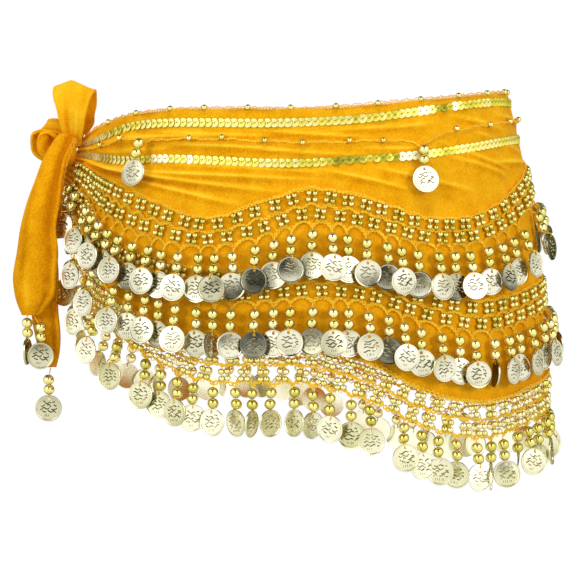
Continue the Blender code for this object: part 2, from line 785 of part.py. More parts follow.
build_panel()
build_band("sequin_band_upper", ("upper_band_top", "upper_band_foot"), SEQUIN_THICKNESS, sequins)
build_band("sequin_band_lower", ("lower_band_top", "lower_band_foot"), SEQUIN_THICKNESS, sequins)
build_band("tier_one_net", ("tier_one", "tier_one_end"), NET_THICKNESS, crochet)
build_band("tier_two_net", ("tier_two", "tier_two_end"), NET_THICKNESS, crochet)
build_bead_line(BEAD_CORD)
build_net("tier_three_net_front", NET_START, NET_SPLIT)
build_net("tier_three_net_back", NET_SPLIT, NET_STOP)
build_fringe("tier_one_fringe", "tier_one_end", "tier_two_end", ON_VELVET, 2, 15, 0)
build_fringe("tier_two_fringe", "tier_two_end", "net_end", ON_VELVET, 5, 15, 0)
build_fringe("tier_three_fringe", "net_end", None, FREE, 3, 17, 9)
build_knot()
build_loop("bow_loop_upper", UPPER_LOOP, 1.5)
build_loop("bow_loop_side", SIDE_LOOP, 1.0, 3)
build_tail("tie_tail_front", FRONT_TAIL)
build_tail("tie_tail_rear", REAR_TAIL)
for drop in TAIL_DROPS:
    build_tail_drop(drop)
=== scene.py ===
import math
import random

import bpy
import numpy as np
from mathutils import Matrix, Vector
from mathutils.geometry import delaunay_2d_cdt


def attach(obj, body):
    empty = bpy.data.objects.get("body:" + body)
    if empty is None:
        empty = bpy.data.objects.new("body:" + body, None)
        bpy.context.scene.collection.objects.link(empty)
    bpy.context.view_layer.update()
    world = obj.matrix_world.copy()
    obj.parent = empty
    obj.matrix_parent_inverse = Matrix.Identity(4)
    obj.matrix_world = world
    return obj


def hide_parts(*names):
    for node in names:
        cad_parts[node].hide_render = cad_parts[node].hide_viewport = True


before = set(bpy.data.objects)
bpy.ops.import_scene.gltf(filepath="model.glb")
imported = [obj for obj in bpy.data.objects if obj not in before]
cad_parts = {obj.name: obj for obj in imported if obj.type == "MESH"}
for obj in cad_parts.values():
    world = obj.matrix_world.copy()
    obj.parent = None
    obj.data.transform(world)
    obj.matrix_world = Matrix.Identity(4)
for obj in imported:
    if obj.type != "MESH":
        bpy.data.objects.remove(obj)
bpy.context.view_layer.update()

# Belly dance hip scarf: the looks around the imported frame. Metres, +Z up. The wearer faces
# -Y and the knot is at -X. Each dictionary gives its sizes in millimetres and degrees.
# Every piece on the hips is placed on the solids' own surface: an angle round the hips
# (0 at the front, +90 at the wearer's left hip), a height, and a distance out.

mm = 0.001
dice = random.Random(7)


# the hips, as the solids have them
hips = {
    "knotAngle": -85.0,
    "middleAngle": 95.0,  # the wearer's left hip, where front and back mirror
    "panelStart": -83.5,
    "panelEnd": 273.5,
    "sectionPower": 2.25,
    # how far the cloth lifts over the seat, below which height, and over what depth it comes in
    "seatLift": 18.0, "seatLiftTop": 20.0, "seatLiftDepth": 170.0,
    # how far the garment stands off the hips at the knot, at rising heights
    "knotStandOff": [(-170, 0), (-120, 8), (-60, 18), (-18, 20.5), (6, 15), (40, 14.5)],
    "knotStandOffReach": 22.0,
    # waves of the hem: how far out, how many round the hips, and the depth they come in over
    "hemWave": 1.3, "hemWaves": 11, "hemWaveDepth": 150.0,
    "pitches": 78,  # one drop to a pitch
    # height, half width, depth to the front, depth to the back
    "sections": [
        (-260, 168, 114, 123),
        (-200, 168, 114, 124),
        (-150, 167, 114, 125),
        (-90, 163, 112, 123),
        (-40, 157, 108, 116),
        (0, 149, 103, 108),
        (45, 138.5, 98, 99),
        (60, 135.5, 95, 96),
    ],
}
sectionTable = np.array(hips["sections"], float).T

# heights of the garment's lines, from the knot to the wearer's left hip
pattern = {
    "columns": (
        "angle", "top", "upperBand", "beadLine", "lowerBand",
        "tierOne", "tierOneEnd", "tierTwo", "tierTwoEnd", "hem", "netEnd",
    ),
    "rows": [
        (-85, 2, 0.5, -2, -4.5, -9, -12, -15, -19, -23, -40),
        (-75, 12.5, 4, -0.5, -5, -13, -24, -29, -40, -46, -68),
        (-65, 16.8, 8, 0.5, -7.5, -20, -37, -42, -60, -67, -91),
        (-52, 21, 13, 4.5, -10.2, -28, -54, -66, -88, -97, -122),
        (-38, 23.2, 14.5, 3.5, -9.8, -41.5, -66.5, -77, -99, -118.5, -143.5),
        (-24, 23.2, 13.8, 3, -11.5, -51.5, -71.5, -86, -108, -133.5, -158.5),
        (-12, 23, 13.3, 1.5, -13.3, -42, -66, -87, -108.5, -135.5, -160.5),
        (0, 23, 14, 0.4, -13.3, -32.5, -56, -84.5, -106, -136.5, -161),
        (14, 25, 16.2, 1.5, -10.8, -38, -61, -88, -109.5, -147, -172.5),
        (28, 28.4, 21, 4.5, -7.8, -50.5, -69, -101, -122, -166.5, -191),
        (42, 32, 26, 10.5, -3, -49.5, -68, -107, -128.5, -173, -197.5),
        (58, 35.5, 30, 15.5, 2.5, -34, -56, -101, -122, -166, -190),
        (75, 38, 31.5, 18.5, 6, -17, -40, -92, -113, -156, -181),
        (95, 39.5, 32.5, 20, 8, -10, -33, -86, -107, -150, -175),
    ],
}
lines = dict(zip(pattern["columns"], np.array(pattern["rows"], float).T))


def smoothCurve(xs, ys, at):  # a smooth curve through one column of a table
    at = np.clip(np.asarray(at, float), xs[0], xs[-1])
    order = np.arange(len(xs))
    low, high = np.maximum(order - 1, 0), np.minimum(order + 1, len(xs) - 1)
    slopes = (ys[high] - ys[low]) / (xs[high] - xs[low])
    i = np.clip(np.searchsorted(xs, at, side="right") - 1, 0, len(xs) - 2)
    step = xs[i + 1] - xs[i]
    t = (at - xs[i]) / step
    start = (1 + 2 * t) * (1 - t) ** 2 * ys[i] + t * (1 - t) ** 2 * step * slopes[i]
    end = t * t * (3 - 2 * t) * ys[i + 1] - t * t * (1 - t) * step * slopes[i + 1]
    return start + end


def knotDistance(angle):
    return np.minimum(angle - hips["knotAngle"], 360 + hips["knotAngle"] - angle)


def lineHeight(name, angle):
    angle = np.asarray(angle, float)
    middle = hips["middleAngle"]
    mirrored = np.where(angle <= middle, angle, 2 * middle - angle)
    height = smoothCurve(lines["angle"], lines[name], mirrored) * mm
    overSeat = np.maximum(0, np.sin(np.radians(angle - middle))) ** 2
    belowTop = np.clip((hips["seatLiftTop"] * mm - height) / (hips["seatLiftDepth"] * mm), 0, 1)
    return height + hips["seatLift"] * mm * overSeat * belowTop


def hipPoint(angle, height, out=0.0):  # a point on the velvet's outer face, moved out
    angle, height, out = np.broadcast_arrays(*(np.asarray(x, float) for x in (angle, height, out)))
    heights, widths, fronts, backs = sectionTable
    halfWidth = smoothCurve(heights, widths, height / mm) * mm
    side, front = np.sin(np.radians(angle)), np.cos(np.radians(angle))
    toFront = smoothCurve(heights, fronts, height / mm) * mm
    toBack = smoothCurve(heights, backs, height / mm) * mm
    halfDepth = np.where(front > 0, toFront, toBack)
    power = hips["sectionPower"]
    radius = (np.abs(side) ** power + np.abs(front) ** power) ** (-1 / power)
    normalX = np.copysign(np.abs(side) ** (power - 1), side) / halfWidth
    normalY = -np.copysign(np.abs(front) ** (power - 1), front) / halfDepth
    length = np.hypot(normalX, normalY)
    nearKnot = np.maximum(0, 1 - knotDistance(angle) / hips["knotStandOffReach"]) ** 2
    standOff = np.interp(height / mm, *np.array(hips["knotStandOff"], float).T) * mm
    deep = np.clip(-height / (hips["hemWaveDepth"] * mm), 0, 1)
    wave = hips["hemWave"] * mm * deep * np.sin(np.radians(hips["hemWaves"] * angle))
    total = out + standOff * nearKnot + wave
    x = halfWidth * side * radius + normalX / length * total
    y = -halfDepth * front * radius + normalY / length * total
    return np.stack([x, y, height], axis=-1)


def runLengths(points):  # how far along a path each of its points lies
    return np.concatenate([[0], np.cumsum(np.linalg.norm(np.diff(points, axis=0), axis=1))])


def evenAngles(count):  # angles that part the net's lower line into equal lengths
    fine = np.linspace(hips["panelStart"], hips["panelEnd"], 1401)
    lengths = runLengths(hipPoint(fine, lineHeight("netEnd", fine)))
    return np.interp(np.linspace(0, lengths[-1], count + 1), lengths, fine)


pitchAngles = evenAngles(hips["pitches"])


def pitchAngle(position):
    return np.interp(position, np.arange(hips["pitches"] + 1), pitchAngles)


def unit(vectors):
    return vectors / np.linalg.norm(vectors, axis=-1, keepdims=True)


def hipFrame(angle, height, out):  # a place, and directions along the hips, up and outward
    place = hipPoint(angle, height, out)
    along = unit(hipPoint(np.asarray(angle) + 0.1, height, out) - place)
    up = hipPoint(angle, np.asarray(height) + 0.5 * mm, out) - place
    up = unit(up - along * np.sum(up * along, axis=-1, keepdims=True))
    return place, along, up, np.cross(along, up)


def slopeAt(heightOf, angle):  # how steeply a line rises along the hips, in degrees
    here, ahead = float(heightOf(angle)), float(heightOf(angle + 0.5))
    run = np.linalg.norm(hipPoint(angle + 0.5, here) - hipPoint(angle, here))
    return math.degrees(math.atan2(ahead - here, run))


def turned(axes, turn=0.0, tilt=0.0, roll=0.0):  # about up, about along, about outward
    def spin(one, other, degrees):
        cosine, sine = math.cos(math.radians(degrees)), math.sin(math.radians(degrees))
        return one * cosine - other * sine, other * cosine + one * sine

    along, up, outward = axes
    along, outward = spin(along, outward, turn)
    outward, up = spin(outward, up, tilt)
    up, along = spin(up, along, roll)
    return along, up, outward


# meshes: each piece is a pile of shapes, and each shape carries a tone for its material
def newPile():
    return {"points": [], "faces": [], "tones": [], "count": 0}


def addShape(pile, points, faces, tone=0.5):
    start = pile["count"]
    pile["points"].append(np.asarray(points, float).reshape(-1, 3))
    pile["faces"].extend(tuple(start + i for i in face) for face in faces)
    added = len(pile["points"][-1])
    pile["tones"].append(np.full(added, tone) if np.isscalar(tone) else tone)
    pile["count"] += added


def stamp(pile, shape, place, axes, tone=0.5, scale=1.0):  # a copy of a shape on three axes
    points, faces = shape[:2]
    if len(shape) > 2:  # the shape shades its own points
        tone = np.clip(tone + shape[2], -0.2, 1.2)
    along, up, outward = axes
    moved = place + scale * (points[:, :1] * along + points[:, 1:2] * up + points[:, 2:3] * outward)
    addShape(pile, moved, faces, tone)


def makePiece(name, pile, material, sharp=50.0):
    mesh = bpy.data.meshes.new(name)
    points = np.concatenate(pile["points"])
    mesh.from_pydata(points.tolist(), [], pile["faces"])
    mesh.update()
    mesh.shade_smooth()
    mesh.set_sharp_from_angle(angle=math.radians(sharp))
    tones = mesh.attributes.new("tone", "FLOAT", "POINT")
    tones.data.foreach_set("value", np.concatenate(pile["tones"]).astype(np.float32))
    mesh.materials.append(material)
    piece = bpy.data.objects.new(name, mesh)
    bpy.context.scene.collection.objects.link(piece)
    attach(piece, "root")
    return piece


def gridFaces(columns, rows, closed=False):
    faces = []
    for i in range(columns if closed else columns - 1):
        after = (i + 1) % columns
        for k in range(rows - 1):
            a, b = i * rows + k, after * rows + k
            faces.append((a, b, b + 1, a + 1))
    return faces


def ringFaces(rings, count, closed=False):  # faces between rings of points, one above another
    faces = []
    for ring in range(rings if closed else rings - 1):
        above = (ring + 1) % rings
        for k in range(count):
            after = (k + 1) % count
            faces.append((ring * count + k, ring * count + after, above * count + after, above * count + k))
    return faces


def shell(pile, outer, inner, tone=0.5):  # a closed wall between two grids of points
    columns, rows = outer.shape[:2]
    back = columns * rows
    faces = gridFaces(columns, rows)
    faces += [tuple(back + i for i in reversed(face)) for face in faces]
    top, foot = ([i * rows + k for i in range(columns)] for k in (0, rows - 1))
    first, last = ([i * rows + k for k in range(rows)] for i in (0, columns - 1))
    for edge, flip in ((top, False), (foot, True), (first, True), (last, False)):
        for a, b in zip(edge, edge[1:]):
            quad = (a, back + a, back + b, b)
            faces.append(quad[::-1] if flip else quad)
    addShape(pile, np.concatenate([outer.reshape(-1, 3), inner.reshape(-1, 3)]), faces, tone)


def respace(path, step):  # the same path in even steps
    lengths = runLengths(path)
    count = max(2, int(round(lengths[-1] / step)) + 1)
    at = np.linspace(0, lengths[-1], count)
    return np.stack([np.interp(at, lengths, path[:, k]) for k in range(3)], axis=1)


# a crocheted thread's radius at its thinnest, as a share, and how much it swells at a stitch
crochet = {"thinnest": 0.78, "swell": 0.44}


def addCord(pile, path, outward, radius, sides=4, stitch=0.0, sway=0.0):
    # a thread along a path; a crocheted one swells at each stitch and sways from side to side
    count = len(path)
    tangent = unit(np.gradient(path, axis=0))
    outward = np.broadcast_to(outward, path.shape)
    normal = unit(outward - tangent * np.sum(outward * tangent, axis=1, keepdims=True))
    side = np.cross(tangent, normal)
    radii = np.full(count, radius)
    middle = path
    if stitch:
        run = runLengths(path) / stitch
        radii = radius * (crochet["thinnest"] + crochet["swell"] * np.abs(np.sin(np.pi * run)))
        middle = path + side * (sway * np.sin(np.pi * run + 0.6))[:, None]
    turns = 2 * np.pi * (np.arange(sides) + 0.5) / sides
    rings = middle[:, None] + radii[:, None, None] * (
        np.cos(turns)[None, :, None] * normal[:, None] + np.sin(turns)[None, :, None] * side[:, None]
    )
    faces = ringFaces(count, sides)
    faces.append(tuple(reversed(range(sides))))
    faces.append(tuple((count - 1) * sides + k for k in range(sides)))
    addShape(pile, rings, faces)


def beadShape(radius, segments, rings, flattening):  # a round bead, its bore along y
    points = [(0, radius * flattening, 0)]
    for i in range(1, rings):
        polar = math.pi * i / rings
        across, up = radius * math.sin(polar), radius * flattening * math.cos(polar)
        for k in range(segments):
            around = 2 * math.pi * k / segments
            points.append((across * math.sin(around), up, across * math.cos(around)))
    points.append((0, -radius * flattening, 0))
    last = len(points) - 1
    faces = []
    for k in range(segments):
        after = (k + 1) % segments
        faces.append((0, 1 + k, 1 + after))
        for i in range(rings - 2):
            a, b = 1 + i * segments + k, 1 + i * segments + after
            faces.append((a, a + segments, b + segments, b))
        faces.append((last, last - segments + after, last - segments + k))
    return np.array(points), faces


def linear(hexColour):  # an sRGB hex value as the linear colour that a shader takes
    parts = [int(hexColour[i : i + 2], 16) / 255 for i in (1, 3, 5)]
    return tuple(p / 12.92 if p <= 0.04045 else ((p + 0.055) / 1.055) ** 2.4 for p in parts) + (1.0,)


def addNode(tree, kind, inputs=(), ramp=(), **settings):  # one node with its settings and links
    node = tree.nodes.new(kind)
    for name, value in settings.items():
        setattr(node, name, value)
    for socket, value in dict(inputs).items():
        if isinstance(value, bpy.types.NodeSocket):
            tree.links.new(value, node.inputs[socket])
        else:
            node.inputs[socket].default_value = value
    for i, (at, colour) in enumerate(ramp):
        stop = node.color_ramp.elements[i] if i < 2 else node.color_ramp.elements.new(at)
        stop.position, stop.color = at, colour
    return node


def startMaterial(name, inputs):
    material = bpy.data.materials.new(name)
    material.use_nodes = True
    tree = material.node_tree
    shader = tree.nodes["Principled BSDF"]
    for socket, value in inputs.items():
        shader.inputs[socket].default_value = value
    return material, tree, shader


def perMetre(sizeMm):  # a pattern's scale from the size of one of its marks
    return 1 / (sizeMm * mm)


# Knitted polyester velvet, its cut pile brushed one way: a soft bloom where the pile is
# seen from the side, no hard shine, and fine speckle from tufts that lean apart.
velvetLook = {
    # paintedCreaseLight is the painted highlight colour that crests reach through the tone
    "paintedCreaseLight": "#FFDA42", "lit": "#FFC01A", "mid": "#F3A807", "shade": "#C87800", "bloom": "#FFB818",
    "tuftMm": 1.1,  # real tufts are 0.3 mm, too fine to show, so drawn coarser
    "brushMm": 11.0,
    "pileDepthMm": 0.3,
}


def makeVelvet():
    look = velvetLook
    material, tree, shader = startMaterial("knitted_polyester_velvet_brushed", {
        "Roughness": 0.7, "Specular IOR Level": 0.08, "IOR": 1.5,
        "Sheen Weight": 0.22, "Sheen Roughness": 0.4, "Sheen Tint": linear(look["bloom"]),
    })
    place = addNode(tree, "ShaderNodeTexCoord").outputs["Object"]
    tufts = addNode(tree, "ShaderNodeTexNoise", {
        "Vector": place, "Scale": perMetre(look["tuftMm"]), "Detail": 3.0, "Roughness": 0.65,
    })
    brushed = addNode(tree, "ShaderNodeTexNoise", {
        "Vector": place, "Scale": perMetre(look["brushMm"]), "Detail": 4.0, "Roughness": 0.6,
    })
    both = addNode(tree, "ShaderNodeMix", {
        "Factor": 0.38, "A": tufts.outputs["Fac"], "B": brushed.outputs["Fac"],
    }, data_type="FLOAT")
    softer = addNode(tree, "ShaderNodeMapRange", {
        "Value": both.outputs["Result"], "To Min": 0.14, "To Max": 0.86,
    })
    # painted highlight on a crest and painted shade in the crease below it, carried in the tone
    tone = addNode(tree, "ShaderNodeAttribute", attribute_name="tone", attribute_type="GEOMETRY")
    creased = addNode(tree, "ShaderNodeMapRange", {
        "Value": tone.outputs["Fac"], "To Min": -0.22, "To Max": 0.22,
    })
    total = addNode(tree, "ShaderNodeMath", {0: softer.outputs["Result"], 1: creased.outputs["Result"]})
    colour = addNode(tree, "ShaderNodeValToRGB", {"Fac": total.outputs["Value"]}, ramp=[
        (0.28, linear(look["shade"])), (0.76, linear(look["paintedCreaseLight"])),
        (0.46, linear(look["mid"])), (0.58, linear(look["lit"])),
    ])
    bump = addNode(tree, "ShaderNodeBump", {
        "Height": tufts.outputs["Fac"], "Strength": 0.7, "Distance": look["pileDepthMm"] * mm,
    })
    tree.links.new(colour.outputs["Color"], shader.inputs["Base Color"])
    tree.links.new(bump.outputs["Normal"], shader.inputs["Normal"])
    return material


threadLook = {"plyMm": 1.0, "plyDepthMm": 0.2, "fuzz": "#FFCC40"}


def makeThread(name, lit, shade):
    material, tree, shader = startMaterial(name, {
        "Roughness": 0.6, "Specular IOR Level": 0.1, "IOR": 1.5,
        "Sheen Weight": 0.8, "Sheen Roughness": 0.6, "Sheen Tint": linear(threadLook["fuzz"]),
    })
    place = addNode(tree, "ShaderNodeTexCoord").outputs["Object"]
    plies = addNode(tree, "ShaderNodeTexNoise", {
        "Vector": place, "Scale": perMetre(threadLook["plyMm"]), "Detail": 2.0,
    })
    colour = addNode(tree, "ShaderNodeValToRGB", {"Fac": plies.outputs["Fac"]}, ramp=[
        (0.32, linear(shade)), (0.62, linear(lit)),
    ])
    bump = addNode(tree, "ShaderNodeBump", {
        "Height": plies.outputs["Fac"], "Strength": 0.6, "Distance": threadLook["plyDepthMm"] * mm,
    })
    tree.links.new(colour.outputs["Color"], shader.inputs["Base Color"])
    tree.links.new(bump.outputs["Normal"], shader.inputs["Normal"])
    return material


def makeMetal(name, colours, edge, metallic, roughness, grainMm, grainDepthMm):
    # each copy's own tone picks its colour between four, so that no two look the same; the tone also carries
    # painted shade and painted highlights
    material, tree, shader = startMaterial(name, {
        "Metallic": metallic, "Roughness": roughness, "Specular Tint": linear(edge),
    })
    place = addNode(tree, "ShaderNodeTexCoord").outputs["Object"]
    grain = addNode(tree, "ShaderNodeTexNoise", {
        "Vector": place, "Scale": perMetre(grainMm), "Detail": 3.0,
    })
    spread = addNode(tree, "ShaderNodeMapRange", {
        "Value": grain.outputs["Fac"], "To Min": -0.1, "To Max": 0.1,
    })
    tone = addNode(tree, "ShaderNodeAttribute", attribute_name="tone", attribute_type="GEOMETRY")
    total = addNode(tree, "ShaderNodeMath", {0: tone.outputs["Fac"], 1: spread.outputs["Result"]})
    colour = addNode(tree, "ShaderNodeValToRGB", {"Fac": total.outputs["Value"]}, ramp=[
        (0.0, linear(colours[0])), (0.92, linear(colours[3])),
        (0.22, linear(colours[1])), (0.55, linear(colours[2])),
    ])
    worn = addNode(tree, "ShaderNodeMapRange", {
        "Value": grain.outputs["Fac"], "To Min": roughness * 0.7, "To Max": roughness * 1.4,
    })
    bump = addNode(tree, "ShaderNodeBump", {
        "Height": grain.outputs["Fac"], "Strength": 0.35, "Distance": grainDepthMm * mm,
    })
    tree.links.new(colour.outputs["Color"], shader.inputs["Base Color"])
    tree.links.new(worn.outputs["Result"], shader.inputs["Roughness"])
    tree.links.new(bump.outputs["Normal"], shader.inputs["Normal"])
    return material


velvet = makeVelvet()
# Mercerised cotton thread, crocheted: a slight gloss on each stitch, darker between them.
thread = makeThread("mercerised_cotton_thread_crocheted", "#FFDA3C", "#FFB81E")
# The same thread in the openwork top edge, painted paler for the light that comes through it from behind.
edgeThread = makeThread("mercerised_cotton_thread_openwork_painted_backlight", "#FFD884", "#F4A83C")
# The same thread in the braid on the panel's ends, in a darker colour.
braidThread = makeThread("mercerised_cotton_thread_braided", "#F2A020", "#C87C10")
# Twisted polyester sewing thread, olive: the thin dark mark across each sequin, a real stitch whose dark
# colour is painted shadow from the gap under the sequin's edge.
sewingThread = makeThread("twisted_polyester_sewing_thread_dark_for_painted_shadow", "#8C8420", "#5E5A10")
# Metallised polyester film, punched and cupped: bright yellow flashes from each edge.
sequinFilm = makeMetal(
    "metallised_polyester_film_punched", ("#70701C", "#B0AC38", "#EEDE58", "#FFFBD4"), "#B4B030",
    metallic=0.8, roughness=0.4, grainMm=4.0, grainDepthMm=0.05,
)
# Acrylic beads, vacuum plated pale gold: mirror-like, white at the lights, olive between.
beadPlating = makeMetal(
    "acrylic_beads_vacuum_plated", ("#B0A842", "#DACE6A", "#EEE290", "#FAEEBC"), "#7A7420",
    metallic=0.85, roughness=0.1, grainMm=5.0, grainDepthMm=0.02,
)
# Coins stamped from thin tinned sheet: flat mirror fields, with painted shade along the relief.
coinSheet = makeMetal(
    "tinned_sheet_coins_stamped", ("#363632", "#7E7C6A", "#C2BE9C", "#DFDBC4"), "#77755E",
    metallic=1.0, roughness=0.18, grainMm=5.0, grainDepthMm=0.06,
)
# The lowest row's coins, the same sheet with a thin brass wash: pale gold, with fainter painted shade on the
# relief.
washedSheet = makeMetal(
    "tinned_sheet_coins_brass_washed", ("#4A4628", "#A09A6C", "#D0CCA0", "#F2EED4"), "#8A865E",
    metallic=1.0, roughness=0.2, grainMm=5.0, grainDepthMm=0.06,
)
print("materials made")


# the velvet panel
panel = {
    "wall": 2.0,
    "columns": 396,
    "bandWidth": 6.5,
    # how far the solids fold out near the knot, at four heights, and how far along the hips
    "folds": {"beadLine": 1.4, "foldHigh": 2.6, "foldMid": -1.2, "foldLow": 2.4},
    "foldReach": 46.0,
    # each row's name and the finer rows below it
    "rows": [
        ("top", 5), ("upperBandTop", 3), ("upperBandFoot", 8), ("beadLine", 8),
        ("lowerBandTop", 3), ("lowerBandFoot", 9), ("foldHigh", 9), ("foldMid", 9),
        ("foldLow", 9), ("tierOne", 8), ("tierOneEnd", 7), ("tierTwo", 6), ("tierTwoEnd", 8),
    ],
    # creases: from (angle, height) to (angle, height), how far out, and how far the cloth
    # falls back above and below the crest
    "creases": [
        (-80, -7, -34, -25.5, 1.9, 1.5, 5.0), (-74, -10, -6, -32, 1.8, 1.3, 5.5),
        (-62, -14, 2, -26, 1.7, 1.3, 5.0), (-72, -14, -36, -42, 1.6, 1.4, 5.0),
        (-50, -20, -16, -43, 1.5, 1.4, 4.5), (-46, -12.5, 4, -20.5, 1.5, 1.2, 4.0),
        (-82, -5.5, -66, -8, -1.6, 1.2, 1.6), (-82, -7.5, -70, -13, 1.5, 1.0, 1.8),
        (-81, 0.5, -58, 7, 1.2, 1.2, 3.0), (-74, 2.0, -40, 5.5, 1.1, 1.1, 2.6),
        (-70, -2.5, -36, -3, 1.3, 1.2, 3.0), (-60, 6, -22, 3, 1.2, 1.2, 3.0),
        (-44, 9.5, -8, 5.5, 1.1, 1.2, 3.2), (-38, 0, -4, -6, 1.3, 1.2, 3.4),
        (-18, 8.5, 16, 5.5, 1.1, 1.2, 3.2), (-14, -3, 18, -8, 1.0, 1.3, 3.4),
        (6, 10.5, 34, 13, 1.1, 1.3, 3.2), (14, -3, 36, -1.5, 1.2, 1.3, 3.4),
        (33, 3.5, 62, -16, 1.7, 2.0, 5.5), (37, -7, 60, -22, 1.7, 1.6, 5.5),
        (40, 19, 62, 11, 1.4, 1.4, 4.0), (47, 8, 76, -3, 1.6, 1.5, 4.5),
        (52, -12, 82, -10, 1.4, 1.8, 5.5), (66, 24, 84, 14, 1.2, 1.4, 4.0),
        (2, -18, 26, -31, 1.3, 1.8, 6.0), (16, -17, 44, -30, 1.4, 1.8, 6.0),
        (58, 22, 92, 20, 1.0, 1.4, 3.0),
    ],
    "mmPerDegree": 2.55,  # along the hips
    "creaseBend": 1.2,
    # how the creases of the hidden side differ: degrees at either end, and the depth's share
    "hiddenShift": (1.5, -5.0),
    "hiddenDepth": 0.9,
    # broad soft waves of the cloth between the seams: reach in degrees, phase, and depth
    "waves": [(31.0, 0.4, 0.7), (17.0, 2.1, 0.5), (9.5, 4.0, 0.25)],
    # how near a seam the cloth lies flat: below the net's top line, and beside a band
    "netHold": 8.0,
    "bandHold": 5.0,
}


def gather(angle):  # 1 where the garment lies flat, less where it narrows into the knot
    return np.minimum(1, 0.3 + 0.7 * np.maximum(0, knotDistance(angle) - 3) / 22)


def panelRowHeights(angle):
    halfBand = 0.5 * panel["bandWidth"] * mm * gather(angle)
    found = {name: lineHeight(name, angle) for name in pattern["columns"][1:]}
    for band in ("upperBand", "lowerBand"):
        found[band + "Top"], found[band + "Foot"] = found[band] + halfBand, found[band] - halfBand
    foldHeight = found["lowerBandFoot"] - found["tierOne"]
    for name, share in (("foldHigh", 0.25), ("foldMid", 0.5), ("foldLow", 0.75)):
        found[name] = found["lowerBandFoot"] - share * foldHeight
    return found


def foldOut(name, angle):
    distance = knotDistance(angle)
    fading = np.exp(-((distance / panel["foldReach"]) ** 2)) * np.minimum(1, distance / 12)
    return panel["folds"].get(name, 0.0) * mm * fading


# with paintedShading set it gives instead the painted light and shade along the creases
def creaseOut(angle, height, paintedShading=False):  # the creases, and their likes on the hidden side
    total = np.zeros(np.broadcast(angle, height).shape)
    middle = hips["middleAngle"]
    perDegree = panel["mmPerDegree"]
    for a0, h0, a1, h1, out, above, below in panel["creases"]:
        for mirror in (False, True):
            if mirror:  # the hidden side's creases lie a little elsewhere
                startShift, endShift = panel["hiddenShift"]
                a0, a1 = 2 * middle - a0 + startShift, 2 * middle - a1 + endShift
                out = panel["hiddenDepth"] * out
            run = np.array([(a1 - a0) * perDegree, h1 - h0])
            length = float(np.hypot(*run))
            x, y = (angle - a0) * perDegree, height / mm - h0
            along = (x * run[0] + y * run[1]) / length ** 2
            bend = panel["creaseBend"] * np.sin(2.6 * along + h0)  # no crease runs quite straight
            off = (y * run[0] - x * run[1]) / length * np.sign(run[0]) - bend
            crest = np.where(off > 0, np.exp(-((off / above) ** 2)), np.exp(-np.abs(off) / below))
            fade = np.sin(np.pi * np.clip(along, 0, 1)) ** 0.6
            if paintedShading:  # painted highlight on the crest, painted shade just below it
                pale = np.exp(-(((off - 0.3) / 0.9) ** 2)) - 0.42 * np.exp(-(((off + 2.4) / 2.2) ** 2))
                total = total + np.sign(out) * fade * pale
            else:
                total = total + out * mm * fade * crest
    if paintedShading:
        return total
    for reach, phase, depth in panel["waves"]:
        total = total + depth * mm * np.sin(2 * np.pi * angle / reach + phase + 0.06 * height / mm)
    return total


def clothFlat(angle, height):  # 1 where the cloth is free, less where it is sewn down
    flat = np.clip(0.35 + (height - lineHeight("tierOne", angle)) / (panel["netHold"] * mm), 0.3, 1.0)
    for line in ("upperBand", "lowerBand"):  # the sequin bands hold it flat
        off = (height - lineHeight(line, angle)) / (panel["bandHold"] * mm)
        flat = flat * (1 - np.exp(-off * off))
    return flat


def buildPanel():
    angles = np.linspace(hips["panelStart"], hips["panelEnd"], panel["columns"])
    named = panelRowHeights(angles)
    names = [name for name, _ in panel["rows"]] + ["hem"]
    heights, outs = [], []
    for (name, count), after in zip(panel["rows"], names[1:]):
        for k in range(count):
            share = k / count
            ease = share * share * (3 - 2 * share)
            heights.append(named[name] + share * (named[after] - named[name]))
            outs.append(foldOut(name, angles) + ease * (foldOut(after, angles) - foldOut(name, angles)))
    heights.append(named["hem"])
    outs.append(foldOut("hem", angles))
    heights, outs = np.stack(heights, axis=1), np.stack(outs, axis=1)
    angles = angles[:, None]
    sewnFlat = clothFlat(angles, heights)
    outs = outs + sewnFlat * creaseOut(angles, heights)
    # painted light and shade along the creases, stored in the tone
    paintedCreaseLight = np.clip(0.5 + 0.55 * sewnFlat * creaseOut(angles, heights, paintedShading=True), 0, 1)
    outer = hipPoint(angles, heights, outs)
    inner = hipPoint(angles, heights, outs - panel["wall"] * mm)
    pile = newPile()
    shell(pile, inner, outer, np.tile(paintedCreaseLight.ravel(), 2))
    piece = makePiece("velvetPanel", pile, velvet, sharp=70)
    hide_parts("velvet_panel")
    return piece


velvetPanel = buildPanel()
print("velvet panel made")


